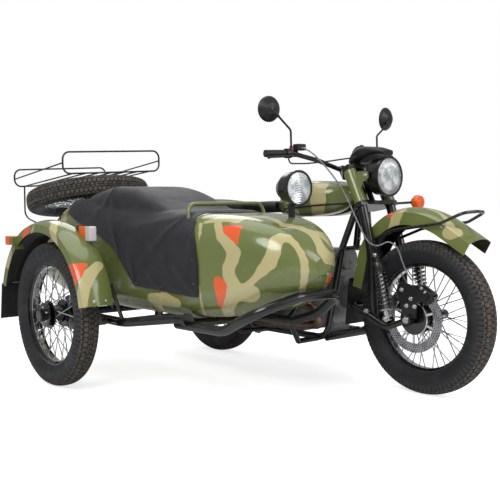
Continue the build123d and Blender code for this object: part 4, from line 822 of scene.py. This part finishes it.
def coverSurface(c):
    # a grid on the skin: columns go from hem to hem, rows from the rear edge or the cut to the front edge
    stations = np.linspace(c["rearX"], c["frontX"], c["stations"])
    turns = np.linspace(-c["turn"], c["turn"], c["turns"])
    table = skinTable(c, stations, turns)

    def at(x, a):
        # bilinear look-up in the table of skin points
        i = np.clip((x - stations[0]) / (stations[1] - stations[0]), 0, len(stations) - 1.001)
        j = np.clip((a - turns[0]) / (turns[1] - turns[0]), 0, len(turns) - 1.001)
        i0, j0 = i.astype(int), j.astype(int)
        p, q = (i - i0)[..., None], (j - j0)[..., None]
        return (table[i0, j0] * (1 - p) * (1 - q) + table[i0 + 1, j0] * p * (1 - q)
                + table[i0, j0 + 1] * (1 - p) * q + table[i0 + 1, j0 + 1] * p * q)

    # the hem's turn on each side: the outermost turn where the skin is still above the hem line
    hemX, hemZ = np.array(c["hem"], float).T
    ends = []
    for side in (-1, 1):
        fine = np.linspace(0, c["turn"], c["fineTurns"]) * side
        height = at(*np.meshgrid(stations, fine, indexing="ij"))[..., 2]
        above = height > np.interp(stations, hemX, hemZ)[:, None]
        last = above.shape[1] - 1 - np.argmax(above[:, ::-1], axis=1)
        ends.append(fine[np.where(above.any(1), last, 0)])

    def turnAt(x, share):
        return np.interp(x, stations, ends[0]) * (1 - share) + np.interp(x, stations, ends[1]) * share

    # each column runs both ways from a station inside the sheet for as long as it is under the edge lines
    share = np.linspace(0, 1, c["columns"])[:, None]
    fineX = np.linspace(c["rearX"], c["frontX"], c["fineStations"])
    gridX = fineX[None] + 0 * share
    spots = at(gridX, turnAt(gridX, share))
    frontX, frontZ = np.array(c["front"], float).T
    ceiling = np.interp(fineX, frontX[::-1], frontZ[::-1], left=2000)
    good = ((spots[..., 2] <= ceiling[None]) | (fineX[None] < c["topX"])) \
        & ((np.abs(spots[..., 1] - c["middle"][0]) >= c["cutHalf"]) | (fineX[None] >= c["cutX"]))
    inside = np.abs(fineX - c["insideX"]).argmin()
    last = inside + runLength(good[:, inside:]) - 1
    first = inside - runLength(good[:, inside::-1]) + 1
    along = np.linspace(0, 1, c["rows"])[None]
    x = fineX[first][:, None] * (1 - along) + fineX[last][:, None] * along
    points = at(x, turnAt(x, share))
    for sweep in range(c["softened"]):  # takes the CAD ridges down and keeps the edges
        inner = (points[:-2, 1:-1] + points[2:, 1:-1] + points[1:-1, :-2] + points[1:-1, 2:]) / 4
        points[1:-1, 1:-1] = points[1:-1, 1:-1] * 0.5 + inner * 0.5
    return points


def outward(points, middle):
    # unit normals of a grid of points, turned away from the middle
    normal = np.cross(np.gradient(points, axis=0), np.gradient(points, axis=1))
    normal /= np.maximum(np.linalg.norm(normal, axis=-1), 1e-9)[..., None]
    return normal * np.where((normal * (points - middle)).sum(-1) < 0, -1, 1)[..., None]


# Each fold is a ridge along a straight line between two points (x, z) of one side: height h, half width w.
folds = [(-1, (884, 800), (560, 560), 6, 26), (-1, (876, 806), (300, 720), 5, 30), (-1, (880, 812), (120, 830), 4, 26),
         (-1, (1010, 478), (870, 590), 7, 20), (-1, (960, 474), (700, 540), 5, 18), (-1, (760, 484), (640, 560), 6, 20),
         (-1, (540, 490), (500, 640), 4, 26), (-1, (250, 930), (120, 740), 6, 34), (-1, (250, 930), (420, 620), 4, 44),
         (-1, (400, 620), (360, 760), 4, 22), (-1, (-100, 850), (60, 900), 4, 22), (-1, (990, 730), (940, 560), 3, 18),
         (1, (884, 800), (560, 560), 6, 26), (1, (1020, 400), (820, 520), 6, 20), (1, (250, 930), (120, 740), 6, 34),
         (1, (470, 470), (430, 640), 4, 26), (1, (-100, 850), (60, 900), 4, 22), (1, (250, 930), (420, 620), 4, 44)]


def foldHeight(points):
    side = np.sign(points[..., 1] - cover["middle"][0])
    lift = np.zeros(points.shape[:2])
    spot = points[..., [0, 2]]
    for which, start, end, height, wide in folds:
        a, b = np.array(start, float), np.array(end, float)
        share = np.clip(((spot - a) @ (b - a)) / ((b - a) @ (b - a)), 0, 1)
        far = np.linalg.norm(spot - a - share[..., None] * (b - a), axis=-1)
        # a rounded ridge that starts sharp and fades to its end: h (1 - 0.8 t) exp(-(d / w(t))^2)
        width = wide * (0.35 + 0.65 * share)
        lift += (side == which) * height * (1 - 0.8 * share) * np.exp(-(far / width) ** 2)
    return lift


def slowNoise(points, scale, seed):
    # sum of six random plane waves, between about -1 and 1
    rng = np.random.default_rng(seed)
    total = 0
    for wave in range(6):
        way = unit(rng.normal(size=3))
        total = total + np.sin((points @ way) * (rng.uniform(0.7, 1.5) / scale) * 2 * np.pi + rng.uniform(0, 6.28))
    return total / 6


def coverSheet(c):
    # the skin raised by folds, slow waves and a rolled hem; inset is 0 at an edge and 1 a few rows inside it
    skin = coverSurface(c)
    normal = outward(skin, np.array((c["insideX"], *c["middle"]), float))
    nearest = [np.minimum(np.linspace(0, 1, c[k]), np.linspace(1, 0, c[k])) for k in ("columns", "rows")]
    inset = np.minimum(np.minimum(nearest[0][:, None] * c["edgeColumns"], nearest[1][None] * c["edgeRows"]), 1)
    lift = foldHeight(skin)
    for height, scale, seed, upright in c["waves"]:
        lift = lift + height * slowNoise(skin * (1, 1, upright), scale, seed)
    high, at, wide = c["roll"]
    roll = high * np.exp(-((inset - at) / wide) ** 2) * (inset < 1)
    lift = np.clip(lift + c["raised"], c["lowest"], None) * (c["edgeShare"] + (1 - c["edgeShare"]) * inset)
    return skin + normal * (lift + roll + c["clear"])[..., None], normal


def sheetShell(points, normal, thick):
    # the outer and inner skins, with their edges joined all round
    outer, inner = points + normal * thick / 2, points - normal * thick / 2
    ends = [grid(np.stack([outer[r], inner[r]])) for r in (0, -1)]
    return join(grid(np.concatenate([outer, inner[:, ::-1]], 1), closeColumns=True), *ends)


def clothFinish(name):
    # coated canvas: fine plain weave, soft sheen, dust in the folds
    f = Finish(name, rgb("26242a"), 0.62, Sheen_Weight=0.2, Sheen_Roughness=0.4, Specular_IOR_Level=0.35)
    x, y, z = f.axes()
    weave = (x * 4200).wave() * ((z + y * 0.7) * 4200).wave()
    tone = f.blend(dirt(f, 6, 0.35, 0.75), rgb("232127"), rgb("2f2c34"))
    return f.wear(f.blend(weave.ease(-1, 1) * 0.4, tone, rgb("151418")), f.mottle(9, 0.5, 0.72, 4),
                  weave * 0.4 + f.noise(70, 4, 0.6), 0.0008, 0.45)


def meshArea(points):
    a, b = np.diff(points, axis=0)[:, :-1], np.diff(points, axis=1)[:-1]
    return np.linalg.norm(np.cross(a, b), axis=-1).sum() / 1e6


coverPoints, coverNormals = coverSheet(cover)
tonneau = addPiece("cockpit_cover", sheetShell(coverPoints, coverNormals, cover["thick"]), clothFinish("cover_canvas"),
                   "chassis", smooth=60)
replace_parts(tonneau, "tonneau")
print("cover made, area in square metres:", round(meshArea(coverPoints), 3))


def roundBox(low, high, power=0.16, rows=20, columns=36):
    # superquadric: half sizes times the powers of the sines and cosines of two turns
    low, high = np.array(low, float), np.array(high, float)
    a = np.linspace(-np.pi / 2, np.pi / 2, rows)[:, None]
    b = np.linspace(0, 2 * np.pi, columns, endpoint=False)[None]
    cosA, sinA, cosB, sinB = (np.sign(t) * np.abs(t) ** power for t in (np.cos(a), np.sin(a), np.cos(b), np.sin(b)))
    ball = np.stack([cosA * cosB, cosA * sinB, sinA + 0 * b], -1)
    return grid((low + high) / 2 + ball * (high - low) / 2, closeColumns=True)


def dome(seat, way, radius, height):
    return lathe([(0, -1), (radius, -1), (radius, 0.3 * height), (radius * 0.8, 0.75 * height), (radius * 0.4, height),
                  (0, height)], seat, way, steps=16)


def zonedLens(name):
    # red edge, amber middle and clear end, one behind the other along x
    f = lens(name, "ff5a08")
    x, y, z = workshop(f)
    ribs = ((z + y * 0.2) * 1500).wave()
    tone = f.blend(x.over(0.414), rgb("d81f12"), rgb("ff6408"))
    tone = f.blend(x.over(0.470), tone, rgb("cfd0d2"))
    # the ribs darken the colour in stripes: painted shade on the prisms
    f.set("Base Color", f.blend(ribs.ease(-1, 1) * 0.35, tone, rgb("7a2a10")))
    # painted glow: the lens gives off faint light in its zone colours
    f.set("Emission Color", tone)
    f.set("Emission Strength", 0.1)
    return f


boxes = {"fender_lamp_lens": [((396, -1130, 700), (508, -1092, 768))],
         "fender_lamp_housing": [((340, -1126, 704), (398, -1098, 764)), ((400, -1122, 690), (480, -1100, 702))],
         "fender_lamp_gasket": [((392, -1132, 698), (397, -1090, 770), 0.12),
                                ((336, -1128, 702), (341, -1096, 766), 0.12)],
         "rear_lamp_housing": [((-66, -1262, 674), (-24, -1224, 714)), ((-60, -1250, 650), (-30, -1200, 676))]}


def boxShapes(name):
    return join(*(roundBox(*box) for box in boxes[name]))


rings = {"sidecar_hub_nuts": {"wheel": "sidecar", "nodes": ["sidecar_wheel"], "depth": -1242, "radius": 36, "count": 5,
                              "start": 0.4, "head": (9, 5)},
         "disc_rivets": {"wheel": "front", "nodes": ["front_disc", "front_wheel"], "depth": -90, "radius": 111,
                         "count": 10, "start": 0, "head": (7, 3)}}


def ringShapes(name):
    # fasteners at equal turns t round an axle: centre + radius (cos t, sin t)
    c = rings[name]
    tree, centre, radius = probe(*c["nodes"]), wheels[c["wheel"]][0], c["radius"]
    spots = [(centre[0] + radius * math.cos(t), c["depth"], centre[2] + radius * math.sin(t))
             for t in np.arange(c["count"]) * 2 * math.pi / c["count"] + c["start"]]
    return join(*(seated(tree, spot, right, *c["head"]) for spot in spots))


dial = {"origin": (1108, 0, 1096), "axis": (-0.82, 0, 0.57), "steps": 40}
turned = {"fog_lamp_knob": {"profile": [(12 * math.sin(t), -12 * math.cos(t)) for t in np.linspace(0, math.pi, 13)],
                            "origin": (1138, -545, 924), "axis": (1, 0, 0), "steps": 24},
          "stop_button": {"profile": [(0, -6), (7, -6), (7, 5), (5.5, 7), (0, 7)], "origin": (962, -302, 1113),
                          "axis": (0, 0, 1), "steps": 20},
          "instrument_pod": {"profile": [(0, -34), (30, -34), (38, -26), (40, -4), (40, 8), (37, 11), (34, 8), (0, 8)],
                             **dial},
          "instrument_ring": {"profile": [(34, 8), (37.5, 11.5), (36, 12.5), (33, 10)], "closed": True, **dial}}
snap = {"spots": [(975, 723), (992, 523), (985, 620), (552, 496), (760, 496), (900, 484), (362, 668), (150, 752),
                  (-30, 800)], "radius": 7.5, "height": 4, "slant": 0.15, "reach": 700}


def snapShapes(c, middle):
    # snap heads where level rays from both sides meet the cover at each (x, z)
    tree = BVHTree.FromPolygons([tuple(v.co) for v in tonneau.data.vertices],
                                [tuple(p.vertices) for p in tonneau.data.polygons])
    hits = [(cast(tree, (x, middle + side * c["reach"], z), (0, -side, 0)), side)
            for side in (-1, 1) for x, z in c["spots"]]
    return join(*(dome(hit, (0, side, c["slant"]), c["radius"], c["height"]) for hit, side in hits if hit is not None))


strip = {"from": 705, "to": 1080, "stations": 26, "lineAt": (800, 838), "slope": 0.065, "radius": 4.2, "proud": 0.8,
         "sides": 10, "reach": 400}


def stripShapes(c, tree):
    # a rubber strip along each side of the tank, where level rays on a sloping line meet it
    strips, (x0, z0) = [], c["lineAt"]
    for side in (-1, 1):
        run = [cast(tree, (x, side * c["reach"], z0 + (x - x0) * c["slope"]), (0, -side, 0))
               for x in np.linspace(c["from"], c["to"], c["stations"])]
        run = np.array([p for p in run if p is not None])
        strips.append(tube(run + (0, side * c["proud"], 0), c["radius"], c["sides"]))
    return join(*strips)


shapes = {"cover_snaps": snapShapes(snap, cover["middle"][0]), "tank_strips": stripShapes(strip, probe("fuel_tank"))}
shapes |= {name: boxShapes(name) for name in boxes} | {name: ringShapes(name) for name in rings}
shapes |= {name: lathe(**c) for name, c in turned.items()}
for name, finish, body, slotName in [
        ("cover_snaps", metal("dull_snap_metal", "55565a", 0.35), "chassis", "black_cloth"),
        ("fender_lamp_lens", zonedLens("zoned_lamp_lens"), "chassis", "amber"),
        ("fender_lamp_housing", finishes["camo_paint"], "chassis", "camo_paint"),
        ("fender_lamp_gasket", finishes["rubber"], "chassis", "rubber"),
        ("rear_lamp_housing", finishes["camo_paint"], "chassis", "camo_paint"),
        ("sidecar_hub_nuts", boltSteel, "sidecar_wheel_body", "brushed_steel"),
        ("disc_rivets", boltSteel, "front_wheel_body", "brushed_steel"),
        ("fog_lamp_knob", finishes["black_plastic"], "chassis", "black_plastic"),
        ("stop_button", plastic("red_button", "d02a1c", 0.35), "steering", "red"),
        ("instrument_pod", finishes["black_plastic"], "steering", "black_plastic"),
        ("instrument_ring", chrome, "steering", "brushed_steel"),
        ("tank_strips", finishes["rubber"], "chassis", "rubber")]:
    addPiece(name, shapes[name], finish, body)
print("small fittings made")


# A crowned pad with sewn channels: crownFrom, piping and tuckFrom are heights, channels are stations along x.
saddle = {"voxel": 0.006, "crown": 7, "crownFrom": 838, "crownOver": 18, "half": 150,
          "channels": [-10, 90, 190, 290, 390, 480], "channelDepth": 4.5, "channelHalf": 7, "pillow": 1.4,
          "piping": 852, "pipingOver": 14, "tuckFrom": 812, "tuckOver": 10, "tuck": 0.025}


def vinylFinish(name):
    # grained vinyl: small cells, a little sheen from wear, dust in the grain
    f = Finish(name, rgb("1a1a1b"), 0.45, Specular_IOR_Level=0.45)
    grain = f.node("ShaderNodeTexVoronoi", {}, {"Vector": f.here, "Scale": 520}, "Distance")
    return f.wear(f.blend(dirt(f, 9), rgb("171718"), rgb("2b2a2a")), f.mottle(20, 0.36, 0.58, 4),
                  grain.ease(0, 0.7) + f.noise(60, 3) * 0.5, 0.0006, 0.5)


def makeSaddle(s):
    work = bmesh.new()
    work.from_mesh(cadNodes["saddle"].data)
    bmesh.ops.remove_doubles(work, verts=work.verts, dist=1e-5)
    mesh = bpy.data.meshes.new("saddle_pad")
    work.to_mesh(mesh)
    work.free()
    pad = bpy.data.objects.new("saddle_pad", mesh)
    bpy.context.scene.collection.objects.link(pad)
    remesh = pad.modifiers.new("voxels", "REMESH")
    remesh.mode, remesh.voxel_size = "VOXEL", s["voxel"]
    done = bpy.data.meshes.new_from_object(pad.evaluated_get(bpy.context.evaluated_depsgraph_get()))
    pad.modifiers.clear()
    pad.data = done
    spots = np.empty(len(done.vertices) * 3)
    done.vertices.foreach_get("co", spots)
    x, y, z = ((spots.reshape(-1, 3) - basePoint) * 1000).T
    # the top rises to its middle line, h (1 - (y / half)^2), and sinks at each seam between two low pillows
    top = np.clip((z - s["crownFrom"]) / s["crownOver"], 0, 1)
    rise = s["crown"] * top * (1 - (np.abs(y) / s["half"]) ** 2).clip(0)
    for at in s["channels"]:
        rise -= s["channelDepth"] * np.exp(-((x - at) / s["channelHalf"]) ** 2) * top
        rise += s["pillow"] * np.exp(-((x - at) / (s["channelHalf"] * 3)) ** 2) * top
    z = z + rise
    under = np.clip((s["piping"] - z) / s["pipingOver"], 0, 1) * np.clip((z - s["tuckFrom"]) / s["tuckOver"], 0, 1)
    done.vertices.foreach_set("co", place(np.stack([x, y * (1 - s["tuck"] * under), z], 1)).ravel())
    done.polygons.foreach_set("use_smooth", np.ones(len(done.polygons), bool))
    done.materials.clear()
    done.materials.append(vinylFinish("saddle_vinyl_grain").material)
    smooth = pad.modifiers.new("round", "SUBSURF")
    smooth.levels = smooth.render_levels = 1
    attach(pad, "chassis")
    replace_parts(pad, "saddle")


makeSaddle(saddle)
print("saddle made")


# Each lamp: name, place, width in millimetres, watts.
studio = {"floor": 0.8, "floorGlow": 0.75, "floorHalf": 30000, "floorDrop": 0.0008, "worldStrength": 0.36,
          "aim": (500, -400, 450),
          "lamps": [("key", (2600, -3600, 3600), 2600, 105), ("fill", (4200, 900, 2400), 2400, 45),
                    ("back", (-3000, 1500, 3400), 3000, 45), ("top", (300, -400, 4300), 3600, 45)]}


def makeWorld(s):
    # dim white for the light, full white where the backdrop is seen or looked at through glass
    world = bpy.data.worlds.new("studio")
    world.use_nodes = True
    bpy.context.scene.world = world
    nodes, link = world.node_tree.nodes, world.node_tree.links.new
    plain, seen = nodes["Background"], nodes.new("ShaderNodeBackground")
    for light, strength in ((plain, s["worldStrength"]), (seen, 1)):
        light.inputs["Color"].default_value = (1, 1, 1, 1)
        light.inputs["Strength"].default_value = strength
    rays, most, mix = (nodes.new("ShaderNode" + kind) for kind in ("LightPath", "Math", "MixShader"))
    most.operation = "MAXIMUM"
    link(rays.outputs["Is Camera Ray"], most.inputs[0])
    link(rays.outputs["Is Transmission Ray"], most.inputs[1])
    link(most.outputs[0], mix.inputs[0])
    link(plain.outputs[0], mix.inputs[1])
    link(seen.outputs[0], mix.inputs[2])
    link(mix.outputs[0], nodes["World Output"].inputs["Surface"])


def makeFloor(s):
    # white to the eye, so that only the shadow shows on it
    half = s["floorHalf"]
    corners = place([(-half, -half, 0), (half, -half, 0), (half, half, 0), (-half, half, 0)]) - (0, 0, s["floorDrop"])
    mesh = bpy.data.meshes.new("floor")
    mesh.from_pydata(corners.tolist(), [], [(0, 1, 2, 3)])
    floor = bpy.data.objects.new("floor", mesh)
    bpy.context.scene.collection.objects.link(floor)
    f = Finish("floor_white", (s["floor"],) * 3, 1, Specular_IOR_Level=0, Emission_Strength=1)
    seen = f.node("ShaderNodeLightPath", {}, {}, "Is Camera Ray")
    f.set("Emission Color", f.blend(seen, (0, 0, 0), (s["floorGlow"],) * 3))
    mesh.materials.append(f.material)


def makeLamps(s):
    for name, spot, width, power in s["lamps"]:
        light = bpy.data.lights.new(name, "AREA")
        light.shape, light.size, light.energy = "DISK", width / 1000, power
        lamp = bpy.data.objects.new(name, light)
        lamp.location = Vector(place(spot))
        lamp.rotation_mode = "QUATERNION"
        lamp.rotation_quaternion = (Vector(place(spot)) - Vector(place(s["aim"]))).to_track_quat("Z", "Y")
        bpy.context.scene.collection.objects.link(lamp)


for make in (makeWorld, makeFloor, makeLamps):
    make(studio)
print("studio made")
